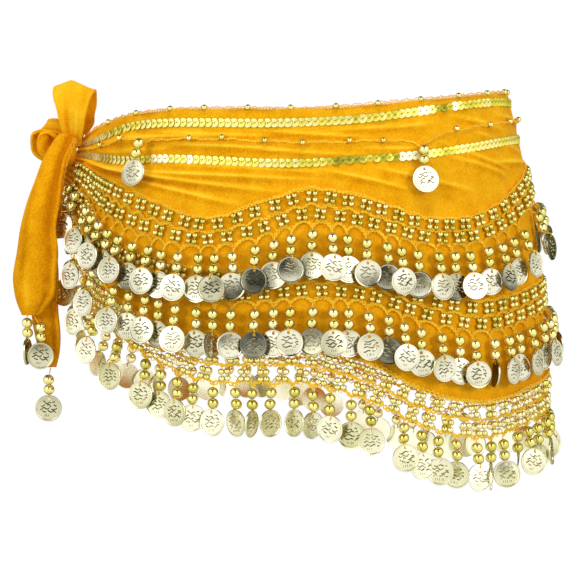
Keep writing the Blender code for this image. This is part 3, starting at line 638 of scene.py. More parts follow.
# the sequin bands
sequin = {
    "radius": 3.15, "hole": 0.5, "cup": 0.08, "film": 0.1, "rim": 0.3, "rimDrop": 0.12, "segments": 16,
    "pitch": 4.5,  # less than its width, so they overlap like scales
    "seat": 0.85,  # its middle, out from the velvet
    # how each lies on the next: leaning along the band and nodding down, in degrees
    "lean": 6.0, "nod": 4.5, "askew": 8.0,
    # where a band is pulled in they are smaller and tip by turns, and they tip too where it is slack
    "smallest": 0.42, "pulledTip": 9.0, "slackTip": 13.0, "slackShrink": 0.1,
    "tone": 0.64, "toneSpread": 0.06, "pulledTone": 0.3, "flare": 0.45, "dull": 0.3,
    "threadRadius": 0.13,
    # runs painted brighter together (painted highlight) and runs painted darker together (painted shade):
    # from, to (degrees), by how much
    "runs": {
        "upperBand": [
            (-62, -51, -0.35), (11, 14, -0.5), (15, 24, -0.3), (29, 33.4, 1.0), (35.8, 40, -1.2),
            (41.4, 43.6, 0.8), (45, 52, -0.5), (58, 78, -0.3), (100, 104, 1.0), (118, 131, -0.8),
            (150, 153, 1.0), (171, 178, -0.6), (196, 214, -0.9), (226, 229, 1.0),
        ],
        "lowerBand": [
            (-47, -42.4, -0.6), (-42, -36, 1.0), (-32.2, -30.4, 0.9), (-2, 1, -0.5), (4.5, 22.4, -0.9),
            (22.7, 28.6, 1.0), (28.6, 30, -0.7), (34, 39, -0.4), (60, 64, -0.3), (92, 108, -0.8),
            (121, 125, 1.0), (143, 149, -0.7), (182, 185, 1.0), (204, 219, -0.9),
        ],
    },
}


def sequinShape():  # a cupped disc with a hole and a rolled rim, x along the hips and z outward
    radius, hole, cup, film = (sequin[key] for key in ("radius", "hole", "cup", "film"))
    rings = [  # radius, depth, and painted shade, dark at the rim for the shadow under each edge and a little at the hole
        (hole, -cup, -0.1), (radius - sequin["rim"], 0.0, 0.05), (radius, -sequin["rimDrop"], -0.5),
        (radius, -sequin["rimDrop"] - film, -0.75), (hole, -cup - film, 0.0),
    ]
    count = sequin["segments"]
    points, shades = [], []
    for across, depth, shade in rings:
        for k in range(count):
            around = 2 * math.pi * k / count
            points.append((across * math.cos(around) * mm, across * math.sin(around) * mm, depth * mm))
            shades.append(shade)
    faces = [(a, d, c, b) for a, b, c, d in ringFaces(len(rings), count, closed=True)]
    return np.array(points), faces, np.array(shades)


def angleSteps(heightOf, spacing, first, last):  # angles an even distance apart
    fine = np.linspace(first, last, 1600)
    lengths = runLengths(hipPoint(fine, heightOf(fine)))
    count = int(round(lengths[-1] / (spacing * mm)))
    return np.interp(np.linspace(0, lengths[-1], count + 1), lengths, fine)


def buildBand(name, lineName, node):
    pile, stitches = newPile(), newPile()
    shape = sequinShape()
    first, last = hips["panelStart"] + 1, hips["panelEnd"] - 1
    angles = angleSteps(lambda a: lineHeight(lineName, a), sequin["pitch"], first, last)
    between = 0.5 * (angles[1:] + angles[:-1])
    # closer set where they are pulled in
    angles = np.sort(np.concatenate([angles, between[gather(between) < 0.8]]))
    place, _, _, outward = hipFrame(angles, lineHeight(lineName, angles), sequin["seat"] * mm)
    slope = unit(np.gradient(place, axis=0))
    for i, angle in enumerate(angles):
        size = float(gather(angle))
        run = sum(amount for start, end, amount in sequin["runs"][lineName] if start <= angle <= end)
        slack = max(0.0, -run)
        lean = sequin["lean"] + dice.uniform(-2, 2) * (1 + 2 * slack)
        zigzag = (1 if i % 2 else -1) * max(sequin["pulledTip"] * (1 - size), sequin["slackTip"] * slack)
        nod = sequin["nod"] + zigzag + dice.uniform(-2, 2) * (1 + 3 * slack)
        axes = (slope[i], np.cross(outward[i], slope[i]), outward[i])
        axes = turned(axes, turn=-lean, tilt=nod, roll=dice.uniform(-1, 1) * sequin["askew"])
        tone = sequin["tone"] + dice.uniform(-1, 1) * sequin["toneSpread"] * (1 + 2 * slack)
        # painted highlight on a bright run, painted shade on a dull one
        tone += sequin["flare" if run > 0 else "dull"] * run + sequin["pulledTone"] * (1 - size)
        scale = sequin["smallest"] + (1 - sequin["smallest"]) * size
        stamp(pile, shape, place[i], axes, tone, scale * (1 - sequin["slackShrink"] * slack))
        if size < 0.75:
            continue  # the thread is hidden where they are pulled close
        # the thread comes up at the hole and goes down past the edge, askew
        reach = axes[0] * sequin["radius"] * 0.95 * size * mm
        rise = axes[2] * 0.2 * mm
        drift = axes[1] * dice.uniform(1.3, 2.1) * size * mm
        path = place[i] + np.array([-0.1 * reach, 0.4 * reach + rise + 0.3 * drift, reach + rise + drift])
        addCord(stitches, path, outward[i], sequin["threadRadius"] * mm, 3)
    band = makePiece(name, pile, sequinFilm, sharp=60)
    sewing = makePiece(name + "Stitches", stitches, sewingThread)
    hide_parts(node)
    return band, sewing


upperBand = buildBand("sequinBandUpper", "upperBand", "sequin_band_upper")
lowerBand = buildBand("sequinBandLower", "lowerBand", "sequin_band_lower")
print("sequin bands made")


# the crocheted tiers with their small beads
small = {"radius": 2.08, "flattening": 0.92, "across": 4.4, "down": 4.1, "segments": 8, "rings": 6}
smallBead = beadShape(small["radius"] * mm, small["segments"], small["rings"], small["flattening"])
chain = {
    # each of two strands: radius, length of a stitch, and how far it sways at one
    "radius": 0.56, "stitch": 2.8, "sway": 0.72,
    "step": 0.72,  # from one ring of points to the next
    "clusterThread": 0.36,
}
hanging = {  # where the fringe hangs, as the solids have it
    # how far a line falls from one pitch to the next where it starts to be too steep for a
    # drop at each pitch, over how much more it becomes so, and how far a drop hangs aside
    "steepFrom": 2.5, "steepOver": 3.0, "aside": 0.12,
}
tier = {
    # how far down a tier each row lies, as a share of its height
    "topLine": -0.07, "upperCluster": 0.14, "middleHigh": 0.36, "middleLow": 0.47,
    "lowerCluster": 0.63, "archHigh": 0.84, "archLow": 1.05,
    "topPeak": 0.8,
    # how far out the clusters and the lines lie, and how far a cluster's threads reach, less
    # where the tier is lower than its full height
    "seat": 2.0, "lineOut": 1.45, "threadReach": 4.6, "fullHeight": 18.0,
    # the tier's height below which a row of clusters stops
    "upperStop": 7.0, "lowerStop": 11.0,
}


def tierHeight(upper, lower, angle, share):
    high, low = lineHeight(upper, angle), lineHeight(lower, angle)
    return high + share * (low - high)


def addChain(pile, angles, heights, outs, heavy=1.0):
    path = respace(hipPoint(angles, heights, outs), chain["step"] * mm)
    outward = unit(path * np.array([1.0, 1.0, 0.0]))
    uneven = 1 + 0.35 * np.sin(np.linspace(0, len(path) / 9, len(path)))
    radius, stitch, sway = (heavy * chain[key] * mm for key in ("radius", "stitch", "sway"))
    for side in (-1, 1):  # two strands that cross at each stitch and open between
        addCord(pile, path, outward, radius, 3, stitch, side * sway * uneven)


def addCluster(beads, threads, place, axes, reach, wide=1.0, high=1.0, size=1.0, pale=0.0):
    # four beads on two threads that run from the line above to the line below
    along, up, outward = axes
    across, down = 0.5 * small["across"] * mm * wide, 0.5 * small["down"] * mm * high
    for column in (-1, 1):
        for row in (-1, 1):
            aside, above = column * dice.uniform(0.9, 1.1), row * dice.uniform(0.97, 1.1)
            at = place + along * across * aside + up * down * above
            stamp(beads, smallBead, at, axes, dice.uniform(0.1, 0.7) + pale, size)
        # the thread's four points: a share of the beads' distance aside, and how far up
        path = np.array([
            place + along * across * column * share + up * rise
            for share, rise in ((0.3, reach), (1, down), (1, -down), (0.3, -reach))
        ])
        addCord(threads, path, outward, chain["clusterThread"] * mm, 3)


def dropPositions(lineName, bare, sway):
    # pitch numbers that carry a drop, and where each hangs, as the solids have them
    found = []
    for number in range(bare, hips["pitches"] - bare + 1):
        before, after = (float(lineHeight(lineName, pitchAngle(number + side))) for side in (-1, 1))
        excess = abs(after - before) / 2 - hanging["steepFrom"] * mm
        steep = min(1.0, max(0.0, excess / (hanging["steepOver"] * mm)))
        if steep == 1 and number % 2 == 0:
            continue
        shift = (1 - steep) * hanging["aside"] * math.sin(1.9 * number + sway)
        found.append((number, float(pitchAngle(number + shift)), steep))
    return found


def archRise(places, p):  # 0 at each place, 1 half way between two
    places = np.array(sorted(places))
    i = np.clip(np.searchsorted(places, p) - 1, 0, len(places) - 2)
    share = np.clip((p - places[i]) / (places[i + 1] - places[i]), 0, 1)
    return np.sin(np.pi * share) ** 0.55


def buildTier(name, upper, lower, bare, node):
    beads, threads = newPile(), newPile()
    pitches, lineOut = hips["pitches"], tier["lineOut"] * mm
    p = np.linspace(0.15, pitches - 0.15, pitches * 40)
    angles = pitchAngle(p)
    wander = 0.35 * mm * np.sin(2.3 * p) + 0.25 * mm * np.sin(5.1 * p)  # made by hand, so uneven
    caughtUp = tier["topPeak"] * mm * (1 - np.abs(np.sin(np.pi * p)))
    top = tierHeight(upper, lower, angles, tier["topLine"]) + caughtUp
    addChain(threads, angles, top + wander, lineOut)
    peak = np.abs(np.cos(np.pi * p)) ** 1.3
    share = tier["middleLow"] + (tier["middleHigh"] - tier["middleLow"]) * peak
    addChain(threads, angles, tierHeight(upper, lower, angles, share) + wander[::-1], lineOut)
    # the lowest line is caught down at each drop
    hung = [angle for _, angle, _ in dropPositions(lower, bare, 0)]
    caught = np.interp(hung, pitchAngles, np.arange(pitches + 1)).tolist()
    caught += [*range(bare), *range(pitches - bare + 1, pitches + 1)]
    share = tier["archLow"] + (tier["archHigh"] - tier["archLow"]) * archRise(caught, p)
    addChain(threads, angles, tierHeight(upper, lower, angles, share) + 0.5 * wander, lineOut)
    for half in range(3, 2 * pitches - 2):
        row = "lower" if half % 2 else "upper"
        angle = float(pitchAngle(half / 2 + dice.uniform(-0.07, 0.07)))
        deep = float(lineHeight(upper, angle) - lineHeight(lower, angle))
        if deep < tier[row + "Stop"] * mm:
            continue
        middle = tier[row + "Cluster"]
        place, *axes = hipFrame(angle, float(tierHeight(upper, lower, angle, middle)), tier["seat"] * mm)
        slope = slopeAt(lambda a: tierHeight(upper, lower, a, middle), angle)
        axes = turned(axes, roll=0.85 * slope + dice.uniform(-9, 9))
        reach = tier["threadReach"] * mm * min(1.0, deep / (tier["fullHeight"] * mm))
        addCluster(beads, threads, place, axes, reach)
    beadPiece = makePiece(name + "Beads", beads, beadPlating)
    netPiece = makePiece(name + "Crochet", threads, thread)
    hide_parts(node)
    return netPiece, beadPiece


tierOne = buildTier("tierOne", "tierOne", "tierOneEnd", 2, "tier_one_net")
tierTwo = buildTier("tierTwo", "tierTwo", "tierTwoEnd", 5, "tier_two_net")
print("tiers one and two made")


# the open net below the hem
net = {
    # share of the way down, out from the velvet, and how much the line rises between
    "hemLine": (0.0, 1.6, 0.6), "middleLine": (0.5, 0.1, 1.6), "endLine": (1.0, 0.1, 3.4),
    # share of the way down, and out from the velvet
    "upperCluster": (0.26, 0.8), "lowerCluster": (0.76, 0.1),
    "start": 1.25, "stop": 76.75, "split": 39.25,
    "heavy": 1.3,
    "clusterWide": 0.9, "clusterHigh": 1.12, "beadSize": 1.1,
    "frontPale": 0.2, "backPale": 0.5,  # how much paler the beads are; the back's extra paleness is painted light that washes it out
}


def buildNet(name, first, last, pale, node):
    beads, threads = newPile(), newPile()
    p = np.linspace(first, last, int((last - first) * 40))
    angles = pitchAngle(p)
    wander = 0.3 * mm * np.sin(2.7 * p) + 0.25 * mm * np.sin(6.1 * p + 1)
    integerPeak, halfPeak = np.abs(np.cos(np.pi * p)), np.abs(np.sin(np.pi * p))
    for key, peak in (("hemLine", halfPeak), ("middleLine", integerPeak), ("endLine", halfPeak ** 0.7)):
        share, out, rise = net[key]
        heights = tierHeight("hem", "netEnd", angles, share) + (rise * peak - 0.3 * rise) * mm + wander
        addChain(threads, angles, heights, out * mm, net["heavy"])
    for half in range(2 * int(first) + 1, 2 * int(last) + 3):
        if not first < half / 2 < last:
            continue
        share, out = net["lowerCluster" if half % 2 else "upperCluster"]
        angle = float(pitchAngle(half / 2 + dice.uniform(-0.05, 0.05)))
        reach = 0.26 * float(lineHeight("hem", angle) - lineHeight("netEnd", angle))
        place, *axes = hipFrame(angle, float(tierHeight("hem", "netEnd", angle, share)), out * mm)
        slope = slopeAt(lambda a: tierHeight("hem", "netEnd", a, share), angle)
        axes = turned(axes, roll=0.7 * slope + dice.uniform(-9, 9))
        addCluster(
            beads, threads, place, axes, reach, net["clusterWide"], net["clusterHigh"], net["beadSize"], pale
        )
    beadPiece = makePiece(name + "Beads", beads, beadPlating)
    netPiece = makePiece(name + "Crochet", threads, thread)
    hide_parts(node)
    return netPiece, beadPiece


netFront = buildNet("netFront", net["start"], net["split"], net["frontPale"], "tier_three_net_front")
netBack = buildNet("netBack", net["split"], net["stop"], net["backPale"], "tier_three_net_back")
print("open net made")


# the coins
coin = {
    "radius": 9.15, "thickness": 0.9, "segments": 36,
    "holeRadius": 1.05, "holeUp": 6.8, "holeSegments": 8, "holeMargin": 1.9,
    "rimIn": 0.8, "rimRise": 0.3,
    # the field inside the rim: radius of each ring of points, and how many
    "field": [(6.2, 18), (4.2, 12), (2.1, 7), (0.0, 1)],
    # raised wavy strokes in rows, short marks below them, and fine ticks inside the rim
    "strokeRows": (4.0, 1.9, -0.3, -2.4), "strokeReach": 6.0, "strokeWidth": 1.0, "relief": 0.4,
    "markRow": -5.0, "markStep": 1.35,
    "ticks": 26, "tickIn": 7.05, "tickOut": 7.75, "tickWidth": 0.44, "tickRise": 0.25,
}
# how six coins differ: painted shade beside the strokes, how far the thin sheet is domed and twisted
# by stamping, and how dark the painted shade towards one side is, and which side (radians)
coinDesigns = [
    {"paintedReliefShade": -0.55, "dome": 0.5, "twist": 0.12, "paintedSideShade": 0.36, "paintedSideShadeTurn": 0.6},
    {"paintedReliefShade": -0.75, "dome": 0.35, "twist": -0.2, "paintedSideShade": 0.18, "paintedSideShadeTurn": 3.9},
    {"paintedReliefShade": -0.6, "dome": -0.3, "twist": 0.15, "paintedSideShade": 0.45, "paintedSideShadeTurn": 2.2},
    {"paintedReliefShade": -0.8, "dome": 0.55, "twist": -0.1, "paintedSideShade": 0.25, "paintedSideShadeTurn": 5.2},
    {"paintedReliefShade": -0.65, "dome": 0.4, "twist": 0.2, "paintedSideShade": 0.1, "paintedSideShadeTurn": 1.2},
    {"paintedReliefShade": -0.8, "dome": -0.35, "twist": -0.16, "paintedSideShade": 0.4, "paintedSideShadeTurn": 4.4},
]


def addRaised(points, faces, shades, path, halfWidth, rise, base, shade):  # a ridge on a coin's face
    start = len(points)
    path = np.array(path, float)
    tangent = unit(np.gradient(path, axis=0))
    side = np.stack([-tangent[:, 1], tangent[:, 0]], axis=1)
    for k, (at, across) in enumerate(zip(path, side)):
        narrow = halfWidth * (0.45 if k in (0, len(path) - 1) else 1.0)
        for offset, up, share in ((-narrow, 0.0, 1.0), (0.0, rise, 0.55), (narrow, 0.0, -0.1)):
            x, y = at + across * offset
            points.append((x * mm, y * mm, (base + up) * mm))
            shades.append(shade * share)
    for k in range(len(path) - 1):
        a = start + 3 * k
        faces += [(a, a + 3, a + 4, a + 1), (a + 1, a + 4, a + 5, a + 2), (a + 2, a + 5, a + 3, a)]
    last = start + 3 * (len(path) - 1)
    faces += [(start, start + 1, start + 2), (last + 2, last + 1, last)]


def coinStrokes(number):  # wavy strokes in rows, broken at other places on each design
    lot = random.Random(40 + number)
    strokes = []
    for up in coin["strokeRows"]:
        reach = math.sqrt(coin["strokeReach"] ** 2 - up ** 2)
        at = -reach + lot.uniform(0, 1.5)
        while at < reach - 1.2:
            length = min(lot.uniform(2.4, 8.5), reach - at)
            wave, phase, turns = lot.uniform(0.4, 0.75), lot.uniform(0, 6.3), length / lot.uniform(3.8, 6.5)
            slope, high = lot.uniform(-0.5, 0.5) * 3 / (2 + length), up + lot.uniform(-0.3, 0.3)
            stroke = []
            for k in range(10):
                ripple = wave * math.sin(phase + 2 * math.pi * turns * k / 9)
                stroke.append((at + length * k / 9, high + slope * length * (k / 9 - 0.5) + ripple))
            strokes.append(stroke)
            at += length + lot.uniform(0.6, 1.4)
    for k in range(lot.choice((3, 4, 5))):
        at = -2.6 + coin["markStep"] * k + lot.uniform(-0.3, 0.3)
        strokes.append([(at, coin["markRow"] - 0.8), (at + lot.uniform(-0.4, 0.4), coin["markRow"] + 0.7)])
    return strokes


def ringPoints(radius, count, up=0.0):
    turns = [2 * math.pi * k / count for k in range(count)]
    return [(radius * math.cos(turn), up + radius * math.sin(turn)) for turn in turns]


def addCoinFace(points, faces, outerStart, holeStart, z, flip):  # fills between the rim and the hole
    count, holeCount = coin["segments"], coin["holeSegments"]
    field = [point for radius, number in coin["field"] for point in ringPoints(radius, number)]
    field = [(x, y) for x, y in field if math.hypot(x, y - coin["holeUp"]) > coin["holeMargin"]]
    order = [*range(outerStart, outerStart + count), *range(holeStart, holeStart + holeCount)]
    order += range(len(points), len(points) + len(field))
    points += [(x * mm, y * mm, z * mm) for x, y in field]
    flat = [Vector(points[i][:2]) / mm for i in order]
    ends = [(k, (k + 1) % count) for k in range(count)]
    ends += [(count + k, count + (k + 1) % holeCount) for k in range(holeCount)]
    _, _, triangles, origins, _, _ = delaunay_2d_cdt(flat, ends, [], 0, 1e-5)
    for triangle in triangles:
        local = [origins[i][0] for i in triangle]
        if all(count <= i < count + holeCount for i in local):
            continue  # inside the hole
        a, b, c = (flat[i] for i in local)
        corners = [order[i] for i in local]
        faces.append(tuple(corners if ((b - a).cross(c - a) > 0) != flip else corners[::-1]))


def coinShape(number):  # a stamped disc with a hole near its top, z outward
    design = coinDesigns[number]
    count, holeCount = coin["segments"], coin["holeSegments"]
    radius, half, rimTop = coin["radius"], coin["thickness"] / 2, coin["thickness"] / 2 + coin["rimRise"]
    rims = [  # radius and height of each ring, from the back round the edge to the field
        (radius - 0.15, -half), (radius, -half + 0.15), (radius, half), (radius - 0.2, rimTop),
        (radius - coin["rimIn"], half + coin["rimRise"] * 0.8), (radius - coin["rimIn"] - 0.35, half),
    ]
    points = [(x * mm, y * mm, z * mm) for across, z in rims for x, y in ringPoints(across, count)]
    faces = ringFaces(len(rims), count)
    hole = len(points)
    holeRing = ringPoints(coin["holeRadius"], holeCount, coin["holeUp"])
    points += [(x * mm, y * mm, z * mm) for z in (-half, half) for x, y in holeRing]
    faces += [tuple(hole + i for i in (a, d, c, b)) for a, b, c, d in ringFaces(2, holeCount)]
    addCoinFace(points, faces, (len(rims) - 1) * count, hole + holeCount, half, False)
    addCoinFace(points, faces, 0, hole, -half, True)
    turn = design["paintedSideShadeTurn"]
    shades = []
    # painted shade, darker towards one side of each coin, for the darker reflection there
    for x, y, _ in points:
        across = (x * math.cos(turn) + y * math.sin(turn)) / (radius * mm)
        shades.append(-design["paintedSideShade"] * min(1.0, max(0.0, 0.7 * across + 0.25)))
    sunk, paintedReliefShade = 0.05, design["paintedReliefShade"]  # the relief's foot lies just under the face
    # painted shade along each stroke and tick: dark at one foot and on the crest, a touch light at the other
    # foot
    for stroke in coinStrokes(number):
        halfWidth, rise = coin["strokeWidth"] / 2, coin["relief"] + sunk
        addRaised(points, faces, shades, stroke, halfWidth, rise, half - sunk, paintedReliefShade)
    for k in range(coin["ticks"]):
        around = 2 * math.pi * (k + 0.5) / coin["ticks"]
        if math.sin(around) > 0.93:
            continue  # clear of the hole
        ends = (coin["tickIn"], coin["tickOut"])
        tick = [(reach * math.cos(around), reach * math.sin(around)) for reach in ends]
        addRaised(points, faces, shades, tick, coin["tickWidth"] / 2, coin["tickRise"], half - sunk, paintedReliefShade)
    points = np.array(points)
    x, y = points[:, 0] / (radius * mm), points[:, 1] / (radius * mm)
    bent = design["dome"] * (1 - x * x - y * y) + design["twist"] * (x * x - y * y + 1.2 * x * y)
    points[:, 2] += bent * mm
    return points, faces, np.array(shades)


coinsBright = [coinShape(number) for number in range(len(coinDesigns))]
# on a dull coin the relief is painted bright, a painted highlight, and on a washed one its painted shade is
# faint
coinsDull = [(points, faces, -0.7 * shades) for points, faces, shades in coinsBright]
coinsSoft = [(points, faces, 0.55 * shades) for points, faces, shades in coinsBright]


# the drops: a thread, two touching beads, a thread ring and a coin
drop = {
    "beadRadius": 3.75, "beadFlattening": 0.96, "beadSegments": 12, "beadRings": 9,
    "hookDown": 0.8, "upperDown": 6.2, "lowerDown": 13.4, "coinDown": 26.1, "footDown": 35.1,
    # the beads touch, at this share of their size, and the lower one lies this much of the
    # way out to the coin, whose middle lies back a little because it is domed
    "touch": 0.985, "lowerShare": 0.25, "coinBack": 0.55,
    # no two threads are alike: how much longer, and how far aside (degrees)
    "slack": (-0.9, 0.5), "aside": (-0.25, 0.25),
    # how far out the hook, the beads and every other coin lie, on the velvet and below it
    "onVelvet": {"strip": 2.3, "bead": 6.2, "evenCoin": 6.3, "oddCoin": 10.1},
    "free": {"strip": 0.2, "bead": 1.2, "evenCoin": 1.4, "oddCoin": 4.6},
    # coins that reach over the next tier's beads lie further out
    "overBeadsOut": 3.8, "overlayReach": 9.0,
    # how far coins turn about their thread, on the velvet, below it, and those nearly edge on
    "coinTurn": 13.0, "freeTurn": 44.0, "edgeOnTurn": 66.0,
    "coinTilt": 6.5, "coinRoll": 9.0,
    # beside the knot the tie pulls the coins round, from one angle to another
    "tieTurn": 34.0, "tieTurnFrom": -50.0, "tieTurnOver": 30.0,
    "threadRadius": 0.42, "lowerThreadRadius": 0.4, "ringRadius": 0.33, "ringDepth": 0.85,
    # tones of the beads and coins of the lowest row, and how much paler those behind are
    "lowBeads": (0.1, 0.5), "lowCoins": (0.55, 1.0), "behindPale": 0.45,
}
largeBead = beadShape(
    drop["beadRadius"] * mm, drop["beadSegments"], drop["beadRings"], drop["beadFlattening"]
)


def addDrop(piles, hook, upper, lower, coinAt, axes, coinAxes, tones, designs=None):
    # tones of the upper bead, the lower bead and the coin
    beads, coins, threads = piles
    outward, coinUp = axes[2], coinAxes[1]
    hang = unit(upper - lower)
    beadAxes = (axes[0], hang, np.cross(axes[0], hang))
    stamp(beads, largeBead, upper, beadAxes, tones[0])
    stamp(beads, largeBead, lower, beadAxes, tones[1])
    designs = designs or (coinsDull if tones[2] < 0.35 else coinsBright)
    stamp(coins, designs[int(tones[2] * 997) % len(designs)], coinAt, coinAxes, tones[2])
    holeAt = coinAt + coinUp * coin["holeUp"] * mm
    topEdge = coinAt + coinUp * (coin["radius"] + 0.3) * mm
    foot = lower - hang * drop["beadRadius"] * mm
    path = np.array([hook, 0.5 * (hook + upper) + outward * 0.1 * mm, upper])
    addCord(threads, path, outward, drop["threadRadius"] * mm, 4)
    path = np.array([foot + hang * 0.6 * mm, 0.5 * (foot + topEdge), topEdge])
    addCord(threads, path, outward, drop["lowerThreadRadius"] * mm, 4)
    # a thread ring through the coin's hole
    high = 0.5 * np.linalg.norm(topEdge - holeAt) + 0.3 * mm
    turns = np.linspace(0, 2 * np.pi, 9)[:, None]
    ring = np.sin(turns) * coinUp * high + np.cos(turns) * coinAxes[2] * drop["ringDepth"] * mm
    addCord(threads, 0.5 * (holeAt + topEdge) + ring, coinAxes[0], drop["ringRadius"] * mm, 3)


def dropPieces(name, piles, sheet, beadName="Beads"):
    beads = makePiece(name + beadName, piles[0], beadPlating)
    coins = makePiece(name + "Coins", piles[1], sheet, sharp=28)
    threads = makePiece(name + "Threads", piles[2], thread)
    return beads, coins, threads


# the share of coins up to here, and their tones: a few dark, some dull, most bright
coinMix = [(0.1, 0.12, 0.26), (0.26, 0.5, 0.7), (1.0, 0.82, 1.05)]


def coinTone():
    kind = dice.random()
    darkest, brightest = next(tones for upTo, *tones in coinMix if kind < upTo)
    return dice.uniform(darkest, brightest)


def buildFringe(name, lineName, nextLine, bare, sway, edgeOnEvery, node):
    piles = (newPile(), newPile(), newPile())
    seat = drop["onVelvet" if nextLine else "free"]
    for number, angle, steep in dropPositions(lineName, bare, sway):
        height = float(lineHeight(lineName, angle))
        lift = steep
        if nextLine:
            reach = float(lineHeight(nextLine, angle)) - (height - drop["footDown"] * mm)
            lift = max(lift, min(1.0, 1 + reach / (drop["overlayReach"] * mm)))
        coinOut = seat["oddCoin" if number % 2 else "evenCoin"] + drop["overBeadsOut"] * lift
        if number % edgeOnEvery == 0 and lift == 0:
            turn = drop["edgeOnTurn"]
        else:
            swing = math.sin(2.1 * number + 1.3 * math.sin(number) + sway)
            turn = (1 - lift) * drop["coinTurn" if nextLine else "freeTurn"] * swing
        nearTie = min(1.0, max(0.0, (drop["tieTurnFrom"] - angle) / drop["tieTurnOver"]))
        turn += drop["tieTurn"] * nearTie
        slack = dice.uniform(*drop["slack"]) * mm
        aside = dice.uniform(*drop["aside"])
        hook = hipPoint(angle, height - drop["hookDown"] * mm, seat["strip"] * mm)
        upper, *axes = hipFrame(angle, height - drop["upperDown"] * mm - slack, seat["bead"] * mm)
        lowerOut = seat["bead"] + drop["lowerShare"] * (coinOut - seat["bead"])
        lower = hipPoint(angle + aside, height - drop["lowerDown"] * mm - slack, lowerOut * mm)
        lower = upper + unit(lower - upper) * 2 * drop["beadRadius"] * drop["touch"] * mm
        coinHeight = height - drop["coinDown"] * mm - 0.5 * slack
        coinAt = hipPoint(angle + 0.5 * aside, coinHeight, (coinOut - drop["coinBack"]) * mm)
        wobble = 0.5 + 0.5 * (1 - lift)
        turn += dice.uniform(-2, 2) * wobble
        tilt = dice.uniform(-1, 1) * drop["coinTilt"] * wobble
        coinAxes = turned(axes, turn, tilt, roll=dice.uniform(-drop["coinRoll"], drop["coinRoll"]))
        if nextLine:
            tones = (dice.uniform(0.3, 0.8), dice.uniform(0.3, 0.8), coinTone())
        else:  # the lowest row has yellower beads and coins, painted paler behind as painted light that washes them out
            pale = drop["behindPale"] * (angle > hips["middleAngle"])
            tones = [dice.uniform(*drop[key]) for key in ("lowBeads", "lowBeads", "lowCoins")]
            tones = [tone + pale * share for tone, share in zip(tones, (1.0, 1.0, 0.4))]
        addDrop(piles, hook, upper, lower, coinAt, axes, coinAxes, tones, None if nextLine else coinsSoft)
    pieces = dropPieces(name, piles, coinSheet if nextLine else washedSheet)
    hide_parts(node)
    return pieces


fringeOne = buildFringe("fringeOne", "tierOneEnd", "tierTwoEnd", 2, 0, 15, "tier_one_fringe")
fringeTwo = buildFringe("fringeTwo", "tierTwoEnd", "netEnd", 5, 0, 15, "tier_two_fringe")
fringeThree = buildFringe("fringeThree", "netEnd", None, 3, 9, 17, "tier_three_fringe")
print("fringes made")


# the bead line between the bands, with its four drops
beadLine = {
    "spacing": 27.0, "out": 1.3, "beadOut": 2.4, "heavy": 0.72, "clear": 3.0,
    # each drop hangs by the nearest of the solid panel's columns: how many of these there
    # are, then where each drop is wanted, how far aside of the column it hangs (degrees),
    # and how much lower it starts
    "columns": 46,
    "drops": [(-47.0, 5.8, 0.0), (31.0, -1.6, 5.5), (128.0, 0.0, 3.0), (215.0, 0.0, 0.0)],
    # how far a drop pulls the line down, over what reach
    "dip": 2.6, "dipReach": 9.0, "mmPerDegree": 2.6,
    "strandOut": 6.2, "upperDown": 3.6, "lowerDown": 10.3, "coinDown": 23.6, "coinTilt": -4.0,
    "dropTones": (0.6, 0.5, 0.78),
}


def beadLineDrops():  # where each of the four hangs, and how much lower it starts
    columns = evenAngles(beadLine["columns"])[1:-1]
    found = []
    for wanted, aside, lower in beadLine["drops"]:
        found.append((float(columns[np.argmin(np.abs(columns - wanted))]) + aside, lower))
    return found


def beadLineRise(angle, height):  # how far the velvet's creases lift what lies on it
    return clothFlat(angle, height) * creaseOut(angle, height)


